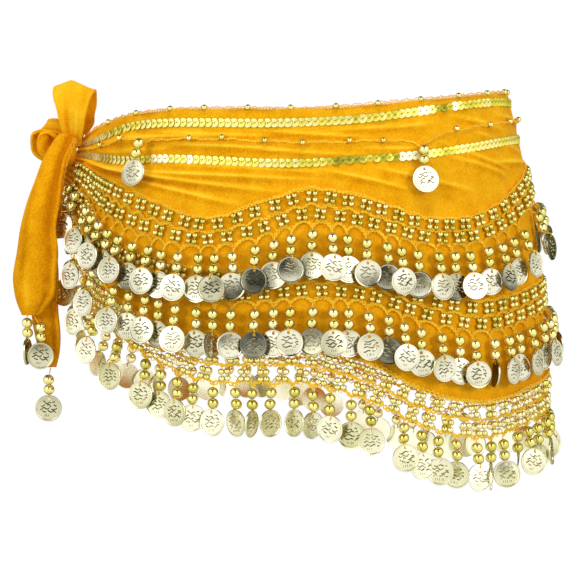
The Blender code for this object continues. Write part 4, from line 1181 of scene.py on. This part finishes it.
def buildBeadLine():
    chainPile, beads, piles = newPile(), newPile(), (newPile(), newPile(), newPile())
    angles = np.linspace(hips["panelStart"] + 1, hips["panelEnd"] - 1, 3000)
    heights = lineHeight("beadLine", angles)
    hangs = beadLineDrops()
    for hang, sunk in hangs:
        off = np.abs(angles - hang) * beadLine["mmPerDegree"]
        dip = (beadLine["dip"] + 0.75 * sunk) * mm
        heights = heights - dip * np.exp(-off / (beadLine["dipReach"] + sunk) * 1.6)
    heights = heights + 0.4 * mm * np.sin(0.55 * angles) + 0.25 * mm * np.sin(1.9 * angles)
    outs = foldOut("beadLine", angles) + beadLineRise(angles, heights) + beadLine["out"] * mm
    addChain(chainPile, angles, heights, outs, beadLine["heavy"])
    first, last = angles[0] + 3, angles[-1] - 3
    for angle in angleSteps(lambda a: lineHeight("beadLine", a), beadLine["spacing"], first, last):
        angle += dice.uniform(-1.2, 1.2)
        if min(abs(angle - hang) for hang, _ in hangs) < beadLine["clear"]:
            continue
        height = float(np.interp(angle, angles, heights)) + dice.uniform(0.0, 1.0) * mm
        out = float(np.interp(angle, angles, outs)) + (beadLine["beadOut"] - beadLine["out"]) * mm
        place, *axes = hipFrame(angle, height, out)
        stamp(beads, smallBead, place, turned(axes, roll=dice.uniform(60, 120)), dice.uniform(0.2, 0.7))
    for hang, sunk in hangs:
        height = float(lineHeight("beadLine", hang)) - sunk * mm
        hookOut = (beadLine["out"] + 0.4) * mm + float(foldOut("beadLine", hang))
        hook = hipPoint(hang, height - beadLine["dip"] * mm, hookOut)
        # the drop lies clear of the highest crease behind it
        coinHeight = height - beadLine["coinDown"] * mm
        behind = np.linspace(coinHeight - 9 * mm, height, 40)
        out = beadLine["strandOut"] * mm + max(0.0, float(np.max(beadLineRise(hang, behind))))
        upper, *axes = hipFrame(hang, height - beadLine["upperDown"] * mm, out)
        lower = hipPoint(hang - 0.3, height - beadLine["lowerDown"] * mm, out)
        coinAt = hipPoint(hang - 0.4, coinHeight, out - 0.3 * mm)
        turn = dice.uniform(-4, 4)
        coinAxes = turned(axes, turn, beadLine["coinTilt"], roll=dice.uniform(-6, 6))
        addDrop(piles, hook, upper, lower, coinAt, axes, coinAxes, beadLine["dropTones"], coinsSoft)
    chainPiece = makePiece("beadLineChain", chainPile, thread)
    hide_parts("bead_line")
    beadPiece = makePiece("beadLineBeads", beads, beadPlating)
    return chainPiece, beadPiece, *dropPieces("beadLine", piles, coinSheet, "DropBeads")


beadLinePieces = buildBeadLine()


# the crocheted top edge, and the braids down the panel's two ends
topEdge = {
    "heavy": 0.75,
    # small loops above the edge: length, rise, and how the cord runs
    "loop": 8.6, "rise": 1.5, "radius": 0.42, "stitch": 1.9, "sway": 0.25,
    "beadSpacing": 29.0, "beadUp": 0.9, "beadOut": 0.4,
    "endInset": 0.3, "endOut": 0.6,
    # the front end's braid comes over the knot's shoulder from under the bow
    "bridge": [
        (-160.4, -31.5, 6.5), (-161.9, -34.0, 1.0), (-164.6, -36.5, -6.0), (-167.0, -38.0, -14.0),
        (-168.7, -38.0, -23.0), (-169.8, -36.0, -33.0), (-170.6, -33.0, -43.0),
    ],
    "bridgeStrands": (-0.7, 0.8), "bridgeRadius": 0.8, "bridgeStitch": 2.2, "bridgeSway": 0.35,
}


def addTopLoops(threads, angles, heights):
    run = runLengths(hipPoint(angles, heights)) / mm
    loops = np.abs(np.sin(np.pi * run / topEdge["loop"])) ** 0.7
    uneven = 0.75 + 0.35 * np.sin(0.043 * run) * np.sin(0.017 * run + 1)
    heights = heights + (0.4 + topEdge["rise"] * loops * uneven) * mm
    path = respace(hipPoint(angles, heights, -0.4 * mm), 0.8 * mm)
    radius, stitch, sway = (topEdge[key] * mm for key in ("radius", "stitch", "sway"))
    addCord(threads, path, unit(path * np.array([1.0, 1.0, 0.0])), radius, 4, stitch, sway)


def addBridge(braids):
    bridge = np.array(topEdge["bridge"]) * mm
    order = np.arange(len(bridge), dtype=float)
    fine = np.linspace(0, len(bridge) - 1, 60)
    path = respace(np.stack([smoothCurve(order, bridge[:, k], fine) for k in range(3)], axis=1), 0.7 * mm)
    radius, stitch, sway = (topEdge["bridge" + key] * mm for key in ("Radius", "Stitch", "Sway"))
    for aside in topEdge["bridgeStrands"]:
        strand = path + np.array([aside * mm, 0, 0])
        addCord(braids, strand, np.array([[0.0, -1.0, 0.0]]), radius, 5, stitch, sway)


def buildTopEdge():
    threads, braids, beads = newPile(), newPile(), newPile()
    angles = np.linspace(hips["panelStart"] + 0.4, hips["panelEnd"] - 0.4, 4200)
    heights = lineHeight("top", angles)
    addChain(threads, angles, heights + 0.1 * mm, 0.2 * mm, topEdge["heavy"])
    addTopLoops(threads, angles, heights)
    first, last = angles[0] + 4, angles[-1] - 2
    for angle in angleSteps(lambda a: lineHeight("top", a), topEdge["beadSpacing"], first, last):
        angle += dice.uniform(-1.0, 1.0)
        height = float(lineHeight("top", angle)) + topEdge["beadUp"] * mm
        place, *axes = hipFrame(angle, height, topEdge["beadOut"] * mm)
        stamp(beads, smallBead, place, turned(axes, roll=dice.uniform(40, 140)), dice.uniform(0.2, 0.6))
    for end, inward in ((hips["panelStart"], 1), (hips["panelEnd"], -1)):
        foot = float(lineHeight("netEnd", end)) + 4 * mm
        heights = np.linspace(float(lineHeight("top", end)), foot, 60)
        addChain(braids, np.full(60, end + inward * topEdge["endInset"]), heights, topEdge["endOut"] * mm)
    addBridge(braids)
    braidPiece = makePiece("endBraids", braids, braidThread)
    lacePiece = makePiece("topEdgeCrochet", threads, edgeThread)
    beadPiece = makePiece("topEdgeBeads", beads, beadPlating)
    return lacePiece, beadPiece, braidPiece


topEdgePieces = buildTopEdge()
print("bead line and top edge made")


# the knot: one rounded lump of gathered velvet with creases round it
knot = {
    "centre": (-167.4, -13.6, -2.6), "halfSize": (8.6, 19.0, 11.0), "roundness": 0.8,
    "columns": 72, "rows": 40,
    # broad swells and sharp creases, as shares of its size
    "swell": 0.035, "crease": 0.05,
}


def buildKnot():
    columns, rows = knot["columns"], knot["rows"]
    around = np.linspace(0, 2 * np.pi, columns, endpoint=False)[:, None]
    polar = np.linspace(0, np.pi, rows)[None, :]
    ball = np.stack([
        np.sin(polar) * np.cos(around), np.sin(polar) * np.sin(around), np.cos(polar) + 0 * around,
    ], axis=-1)
    turn = np.arctan2(ball[..., 2], ball[..., 0])
    swells = knot["swell"] * (1 + np.sin(2 * turn + 5 * ball[..., 1]))
    creases = knot["crease"] * np.abs(np.sin(3.5 * ball[..., 1] + 1.2 * np.sin(turn))) ** 6
    shaped = np.sign(ball) * np.abs(ball) ** knot["roundness"] * (1 - swells - creases)[..., None]
    points = (np.array(knot["centre"]) + shaped * np.array(knot["halfSize"])) * mm
    pile = newPile()
    addShape(pile, points, gridFaces(columns, rows, closed=True))
    piece = makePiece("tieKnot", pile, velvet, sharp=60)
    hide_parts("tie_knot")
    return piece


buildKnot()


# the ties: each is a strip of velvet given by its sections. A section is the middle of the
# cloth, half its width, the width's direction from +X, and how far that tips down.
tie = {"wall": 2.0, "steps": 7, "sharp": 70}
# creases down a tie: where across it (-1 to 1), from and to along it (0 to 1), width, depth
loopCreases = [
    (-0.45, 0.0, 0.42, 0.16, 1.1), (0.3, 0.02, 0.34, 0.14, -0.9), (0.1, 0.6, 1.0, 0.18, 1.0),
    (-0.6, 0.62, 0.98, 0.14, -0.8), (0.65, 0.3, 0.62, 0.2, 0.7),
]
curlCreases = [(-0.3, 0.1, 0.6, 0.2, 0.9), (0.35, 0.3, 0.9, 0.2, -0.9), (-0.5, 0.5, 1.0, 0.16, 0.8)]
tailCreases = [
    (-0.72, 0.0, 0.5, 0.1, -0.8), (0.35, 0.05, 0.4, 0.09, 0.9), (-0.38, 0.3, 0.75, 0.1, 0.8),
    (0.52, 0.45, 0.85, 0.09, -0.9), (-0.2, 0.6, 1.0, 0.08, -0.8), (0.25, 0.7, 1.0, 0.08, 0.7),
]


def smoothSections(sections):
    table = np.array(sections, float)
    order = np.arange(len(table), dtype=float)
    at = np.linspace(0, len(table) - 1, (len(table) - 1) * tie["steps"] + 1)
    return np.stack([smoothCurve(order, table[:, k], at) for k in range(6)], axis=1)


def widthDirection(sections):
    turn, tip = np.radians(sections[:, 4]), np.radians(sections[:, 5])
    return np.stack([np.cos(turn) * np.cos(tip), np.sin(turn) * np.cos(tip), -np.sin(tip)], axis=1)


def tieCreases(creases, across, along):
    total = np.zeros(np.broadcast(across, along).shape)
    for place, first, last, width, depth in creases:
        drift = place + 0.18 * (along - first)
        fade = np.sin(np.pi * np.clip((along - first) / (last - first), 0, 1)) ** 0.8
        total = total + depth * mm * fade * np.exp(-(((across - drift) / width) ** 2))
    return total


def addTieCloth(pile, grid, creases, shades=0.0):  # a wall on both sides of a grid in millimetres
    grid = grid * mm
    columns, rows = grid.shape[:2]
    normal = unit(np.cross(np.gradient(grid, axis=0), np.gradient(grid, axis=1)))
    across, along = np.linspace(-1, 1, rows)[None, :], np.linspace(0, 1, columns)[:, None]
    depth = tieCreases(creases, across, along)
    grid = grid + normal * depth[..., None]
    # painted shade and painted light that follow each crease's depth
    tone = np.clip(0.5 + shades - 0.3 * np.clip(depth / mm, -1, 1), 0, 1)
    half = normal * tie["wall"] * mm / 2
    shell(pile, grid + half, grid - half, np.tile(tone.ravel(), 2))


def finishTie(name, pile, node):
    piece = makePiece(name, pile, velvet, sharp=tie["sharp"])
    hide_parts(node)
    return piece


# the bow's loops
upperLoop = {
    "sections": [
        (-161.0, -22, 2.0, 4.6, -12, 0), (-162.2, -24.5, 8.2, 6.4, -10, 2), (-162.4, -27.5, 14, 8.0, -9, 3),
        (-162.8, -29.5, 20.5, 9.4, -8, 4), (-162.7, -30, 27, 10.9, -8, 4), (-162.9, -28.5, 35, 13.2, -8, 4),
        (-161.6, -23, 40.2, 14.3, -8, 5), (-160.8, -16, 41.4, 14.2, -8, 5), (-159.6, -9, 39.0, 13.2, -8, 6),
        (-157.6, -6, 32, 11.0, -8, 6), (-157.2, -6.5, 25, 9.2, -9, 4), (-157.2, -8.5, 18, 8.6, -9, 2),
        (-160.4, -11.5, 9.5, 6.4, -10, 0),
    ],
    "crown": 1.2,
    # the fold at its top peaks like a roof: where across, how high, how far it reaches down
    "peak": -0.18, "peakHeight": 6.4, "peakReach": 0.13,
    # lighter all over, with painted shade where the cloth goes into the knot
    "tone": 0.14, "knotShade": 0.56, "darkFrom": 0.74, "darkOver": 0.14,
}
sideLoop = {
    "sections": [
        (-167.5, -17, 12.0, 6.0, 90, -66), (-172.4, -17, 15.2, 6.2, 88, -60),
        (-177.8, -15, 16.0, 7.0, 80, -46),
        (-183.2, -13, 15.8, 8.2, 68, -28), (-186.0, -12, 11.0, 9.4, 60, -8), (-185.8, -12, 3.0, 10.2, 58, 0),
        (-184.6, -12, -3.6, 9.6, 58, 4), (-181.0, -13, -8.4, 8.0, 66, 8), (-175.0, -14, -9.6, 6.4, 76, 4),
        (-170.0, -14, -7.0, 5.6, 80, 0),
    ],
    "crown": 1.0,
}
sideCurl = {  # the cloth that comes back inside the side loop and curls over towards the tail
    "sections": [
        (-167.5, -16, 4.0, 6.4, 84, -30), (-171.5, -18, 9.0, 7.0, 76, -24),
        (-175.8, -19.5, 12.8, 7.6, 62, -14),
        (-179.6, -20, 10.2, 8.0, 48, -6), (-180.4, -20.5, 3.4, 8.4, 40, 0), (-179.2, -21, -2.4, 8.4, 36, 4),
        (-176.6, -21, -7.2, 7.6, 40, 6), (-172.6, -20, -9.6, 6.0, 56, 4),
    ],
    "crown": 1.2,
}


def loopGrid(loop):  # 25 points across each section, crowned outward
    sections = smoothSections(loop["sections"])
    middle, width = sections[:, :3], widthDirection(sections)
    normal = unit(np.cross(np.gradient(middle, axis=0), width))[:, None]
    across = np.linspace(-1, 1, 25)[None, :, None]
    swell = np.sin(np.pi * np.linspace(0, 1, len(sections)))[:, None, None]
    wide = width[:, None] * sections[:, 3, None, None] * across
    return middle[:, None] + wide + normal * loop["crown"] * (1 - across ** 2) * swell


def roofOver(grid):  # peaks the fold at the upper loop's top
    peak = upperLoop["peak"]
    heights = smoothSections(upperLoop["sections"])[:, 2]
    along = np.linspace(0, 1, len(heights))[:, None]
    top = np.argmax(heights) / (len(heights) - 1)
    across = np.linspace(-1, 1, grid.shape[1])[None, :]
    slope = np.where(across < peak, (across + 1) / (peak + 1), (1 - across) / (1 - peak))
    tent = 0.92 * slope + 0.08 * np.sin(np.pi * slope / 2)
    fade = np.exp(-(((along - top) / upperLoop["peakReach"]) ** 2))
    grid[..., 2] += upperLoop["peakHeight"] * tent * fade
    return grid


def buildUpperLoop():
    pile = newPile()
    grid = roofOver(loopGrid(upperLoop))
    # painted shade towards the end that goes into the knot
    inside = (np.linspace(0, 1, len(grid))[:, None] - upperLoop["darkFrom"]) / upperLoop["darkOver"]
    shades = upperLoop["tone"] - upperLoop["knotShade"] * np.clip(inside, 0, 1)
    addTieCloth(pile, grid, loopCreases, shades)
    return finishTie("bowLoopUpper", pile, "bow_loop_upper")


def buildSideLoop():
    pile = newPile()
    addTieCloth(pile, loopGrid(sideLoop), loopCreases)
    addTieCloth(pile, loopGrid(sideCurl), curlCreases)
    return finishTie("bowLoopSide", pile, "bow_loop_side")


bowUpper = buildUpperLoop()
bowSide = buildSideLoop()


# the hanging ends, each rolled into a trough along its length
tail = {
    "depth": 5.0, "trough": 4.4, "troughAside": 0.72, "troughWidth": 0.46, "wrap": 1.9, "across": 45,
    # painted shade: a little darker all over, darkest in the trough, and painted shadow at the top over the
    # knot
    "tone": -0.14, "troughShade": -0.14, "knotShadow": -0.4,
}
frontTail = [
    (-166, -27.4, 9.2, 5, -8, 0), (-168.5, -31.3, 4, 6.5, -8, 0), (-173.9, -36.5, -8, 7.3, -8, 0),
    (-177.6, -40.5, -22, 8.5, -8, 0), (-181, -44, -38, 10.6, -8, 0), (-184.4, -45, -55, 11.4, -8, 0),
    (-185, -43.5, -72, 13.5, -8, 0), (-187, -43, -88, 14.2, -8, 0), (-187, -42.5, -100, 13.2, -8, 0),
    (-188.5, -42, -108, 9.5, -8, 0), (-190, -41.5, -115, 5, -8, 0),
]
rearTail = [
    (-171.0, -20.6, -13.9, 5, -10, 0), (-176.4, -26, -24, 5.8, -10, 0), (-180.4, -32, -38, 6.4, -10, 0),
    (-182.2, -33, -58, 7.0, -10, 0), (-180.5, -32.5, -84, 8.3, -10, 0), (-181, -32.5, -110, 8.6, -10, 0),
    (-179, -32.5, -128, 8.2, -10, 0), (-177.5, -32.5, -141, 6, -10, 0), (-176.8, -32.5, -151, 3, -10, 0),
]


def buildTail(name, rows, node):
    sections = smoothSections(rows)
    width = widthDirection(sections)[:, None]
    back = np.stack([-width[..., 1], width[..., 0], np.zeros_like(width[..., 0])], axis=-1)
    halfWidth = sections[:, 3, None, None]
    depth = np.minimum(tail["depth"], 0.55 * halfWidth)
    roll = np.linspace(-tail["wrap"], tail["wrap"], tail["across"])[None, :, None]
    aside = halfWidth * np.sin(roll) * np.where(np.abs(roll) < np.pi / 2, 1.0, 0.98)
    nearKnot = np.linspace(1, 0, len(sections))[:, None, None]  # the trough is deepest there
    trough = np.exp(-(((roll - tail["troughAside"]) / tail["troughWidth"]) ** 2))
    trough = tail["trough"] * trough * depth / tail["depth"] * (0.45 + 0.75 * nearKnot)
    grid = sections[:, None, :3] + width * aside + back * (trough - depth * np.cos(roll))
    # painted shadow at the top, where the tail goes over the knot under the loop, and painted shade in the
    # trough
    over = np.clip((nearKnot - 0.8) / 0.14, 0, 1) * np.exp(-(((roll - 0.8) / 0.8) ** 2))
    shades = tail["tone"] + tail["troughShade"] * trough * (0.4 + 0.6 * nearKnot) + tail["knotShadow"] * over
    pile = newPile()
    addTieCloth(pile, grid, tailCreases, shades[..., 0])
    return finishTie(name, pile, node)


tailFront = buildTail("tieTailFront", frontTail, "tie_tail_front")
tailRear = buildTail("tieTailRear", rearTail, "tie_tail_rear")
print("knot, bow and ties made")


# the drops at the ties' tips
tailDrop = {
    # node, where the thread leaves, how far down and aside the first bead hangs, the coin's turn
    "front": [
        ("tail_drop_front_a", (-192.3, -41.4, -115.2), 5.4, 0.0, 78),
        ("tail_drop_front_b", (-187.7, -42.2, -115.2), 8.4, 4.6, 8),
    ],
    "rear": [("tail_drop_rear", (-176.8, -33.8, -151.4), 8.4, -1.4, -5)],
    "lowerBead": (0.3, 0.0, -6.7), "coin": (0.0, 0.0, -19.6),
    "tones": (0.6, 0.5, 0.6),
}


def buildTailDrops(name, rows):
    piles = (newPile(), newPile(), newPile())
    axes = (np.array([1.0, 0, 0]), np.array([0, 0, 1.0]), np.array([0, -1.0, 0]))
    for _, root, down, aside, turn in rows:
        root = np.array(root) * mm
        upper = root + np.array([aside, 0, -down]) * mm
        lower = upper + np.array(tailDrop["lowerBead"]) * mm
        coinAt = upper + np.array(tailDrop["coin"]) * mm
        tilt = dice.uniform(-3, 3)
        coinAxes = turned(axes, turn, tilt, roll=dice.uniform(-6, 6))
        addDrop(piles, root, upper, lower, coinAt, axes, coinAxes, tailDrop["tones"])
    pieces = dropPieces(name, piles, coinSheet)
    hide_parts(*[row[0] for row in rows])
    return pieces


frontDrops = buildTailDrops("tailDropFront", tailDrop["front"])
rearDrops = buildTailDrops("tailDropRear", tailDrop["rear"])
print("tail drops made")


# the studio, in metres and watts
studio = {
    "floorSize": 9.0, "floorHeight": -1.0, "aim": (0.0, 0.0, -0.08),
    # name, place, size, watts
    "lights": [
        ("softboxRight", (1.6, -1.9, 0.5), 0.8, 19.0),
        ("softboxLeft", (-1.8, -1.8, 0.6), 0.8, 19.0),
        ("overhead", (0.1, -0.9, 2.3), 1.0, 20.5),
        ("back", (0.0, 2.4, 1.0), 1.8, 18.0),
    ],
    "cameraPlace": (-0.01435, -2.1, -0.0956), "lens": 188.48, "sensor": 36.0,
}
# what mirrors see: white walls brightest at eye height, and two softboxes in front
room = {
    "walls": [
        (0.0, (0.9, 0.9, 0.87, 1)), (1.0, (1.0, 1.0, 0.98, 1)), (0.3, (1.25, 1.25, 1.22, 1)),
        (0.53, (1.35, 1.35, 1.33, 1)), (0.62, (1.1, 1.1, 1.08, 1)), (0.85, (1.0, 1.0, 0.98, 1)),
    ],
    # the dark gaps between the softboxes meet in a Y on every bead: the direction of one of
    # its arms, how wide a gap is and how soft, its colour, and the heights it shows at
    "arm": (-0.933, 0.289, 0.214), "gapFrom": 0.28, "gapTo": 0.42, "gap": (0.03, 0.03, 0.025, 1),
    "gapHeights": [(0.55, (0, 0, 0, 1)), (1.0, (1, 1, 1, 1)), (0.64, (1, 1, 1, 1)), (0.8, (1, 1, 1, 1))],
    # the front softboxes, left and right, are the white glint on either side of that mark
    "glintWay": (0.58, -0.66, 0.47), "glintFrom": 0.9, "glintTo": 0.97, "glint": (3.2, 3.2, 3.1, 1),
    # what falls on the cloth from below, level and above
    "fill": [(0.0, (0.66, 0.66, 0.65, 1)), (1.0, (0.55, 0.55, 0.55, 1)), (0.5, (0.37, 0.37, 0.37, 1))],
}


def addToScene(name, data):
    added = bpy.data.objects.new(name, data)
    bpy.context.scene.collection.objects.link(added)
    added.visible_glossy = False  # mirrors see the room's own floor and softboxes
    return added


def buildFloor():
    half, z = studio["floorSize"] / 2, studio["floorHeight"]
    mesh = bpy.data.meshes.new("floor")
    corners = [(-half, -half, z), (half, -half, z), (half, half, z), (-half, half, z)]
    mesh.from_pydata(corners, [], [(0, 1, 2, 3)])
    # matt white acrylic over lamps, so the eye gets no edge or shadow under the scarf
    material, _, _ = startMaterial("acrylic_studio_floor_lit_from_below", {
        "Base Color": linear("#F4F3F0"), "Roughness": 0.9,
        "Emission Color": linear("#FFFFFF"), "Emission Strength": 0.42,
    })
    mesh.materials.append(material)
    floor = addToScene("floor", mesh)
    floor.visible_diffuse = False


def buildLights():
    for name, place, size, watts in studio["lights"]:
        lamp = bpy.data.lights.new(name, "AREA")
        lamp.shape, lamp.size, lamp.energy = "DISK", size, watts
        lampObject = addToScene(name, lamp)
        lampObject.location = place
        aim = Vector(studio["aim"]) - Vector(place)
        lampObject.rotation_euler = aim.to_track_quat("-Z", "Y").to_euler()


def addRoom(tree, axes, up):  # the colour that a mirror sees in each direction
    walls = addNode(tree, "ShaderNodeValToRGB", {"Fac": up}, ramp=room["walls"])
    # left and right are alike, so the direction is folded over onto one side
    aside = addNode(tree, "ShaderNodeMath", {0: axes.outputs["X"]}, operation="ABSOLUTE")
    folded = addNode(tree, "ShaderNodeCombineXYZ", {
        "X": aside.outputs["Value"], "Y": axes.outputs["Y"], "Z": axes.outputs["Z"],
    })
    # the Y of dark gaps: its two arms above, and its stem below them only
    arm = addNode(tree, "ShaderNodeVectorMath", {
        0: folded.outputs["Vector"], 1: room["arm"],
    }, operation="DOT_PRODUCT")
    above = addNode(tree, "ShaderNodeMath", {0: arm.outputs["Value"], 1: 0.0}, operation="GREATER_THAN")
    stem = addNode(tree, "ShaderNodeMath", {
        0: aside.outputs["Value"], 1: above.outputs["Value"],
    }, operation="ADD")
    toArm = addNode(tree, "ShaderNodeMath", {0: arm.outputs["Value"]}, operation="ABSOLUTE")
    nearest = addNode(tree, "ShaderNodeMath", {
        0: stem.outputs["Value"], 1: toArm.outputs["Value"],
    }, operation="MINIMUM")
    between = addNode(tree, "ShaderNodeMapRange", {
        "Value": nearest.outputs["Value"], "From Min": room["gapFrom"], "From Max": room["gapTo"],
        "To Min": 1.0, "To Max": 0.0,
    })
    heights = addNode(tree, "ShaderNodeValToRGB", {"Fac": up}, ramp=room["gapHeights"])
    gap = addNode(tree, "ShaderNodeMath", {
        0: between.outputs["Result"], 1: heights.outputs["Color"],
    }, operation="MULTIPLY")
    gapped = addNode(tree, "ShaderNodeMix", {
        "Factor": gap.outputs["Value"], "A": walls.outputs["Color"], "B": room["gap"],
    }, data_type="RGBA")
    toward = addNode(tree, "ShaderNodeVectorMath", {
        0: folded.outputs["Vector"], 1: room["glintWay"],
    }, operation="DOT_PRODUCT")
    glint = addNode(tree, "ShaderNodeMapRange", {
        "Value": toward.outputs["Value"], "From Min": room["glintFrom"], "From Max": room["glintTo"],
    })
    glinting = addNode(tree, "ShaderNodeMix", {
        "Factor": glint.outputs["Result"], "A": gapped.outputs["Result"], "B": room["glint"],
    }, data_type="RGBA")
    return glinting.outputs["Result"]


def buildWorld():
    world = bpy.data.worlds.new("studio")
    bpy.context.scene.world = world
    world.use_nodes = True
    tree = world.node_tree
    mirrored = tree.nodes["Background"]
    place = addNode(tree, "ShaderNodeTexCoord")
    axes = addNode(tree, "ShaderNodeSeparateXYZ", {"Vector": place.outputs["Generated"]})
    up = addNode(tree, "ShaderNodeMapRange", {"Value": axes.outputs["Z"], "From Min": -1.0, "From Max": 1.0})
    tree.links.new(addRoom(tree, axes, up.outputs["Result"]), mirrored.inputs["Color"])
    fill = addNode(tree, "ShaderNodeValToRGB", {"Fac": up.outputs["Result"]}, ramp=room["fill"])
    soft = addNode(tree, "ShaderNodeBackground", {"Color": fill.outputs["Color"], "Strength": 1.0})
    seen = addNode(tree, "ShaderNodeBackground", {"Color": (1, 1, 1, 1), "Strength": 1.0})
    # the camera sees plain white, mirrors see the room, and all else gets the soft fill
    rays = addNode(tree, "ShaderNodeLightPath")
    lit = addNode(tree, "ShaderNodeMixShader", {
        0: rays.outputs["Is Glossy Ray"], 1: soft.outputs["Background"], 2: mirrored.outputs["Background"],
    })
    mix = addNode(tree, "ShaderNodeMixShader", {
        0: rays.outputs["Is Camera Ray"], 1: lit.outputs["Shader"], 2: seen.outputs["Background"],
    })
    tree.links.new(mix.outputs["Shader"], tree.nodes["World Output"].inputs["Surface"])


def buildCamera():
    camera = bpy.data.cameras.new("camera")
    camera.lens, camera.sensor_width = studio["lens"], studio["sensor"]
    cameraObject = addToScene("camera", camera)
    cameraObject.location = studio["cameraPlace"]
    cameraObject.rotation_euler = (math.radians(90), 0, 0)
    bpy.context.scene.camera = cameraObject
    bpy.context.scene.view_settings.view_transform = "Standard"


buildFloor()
buildLights()
buildWorld()
buildCamera()
print("studio made")

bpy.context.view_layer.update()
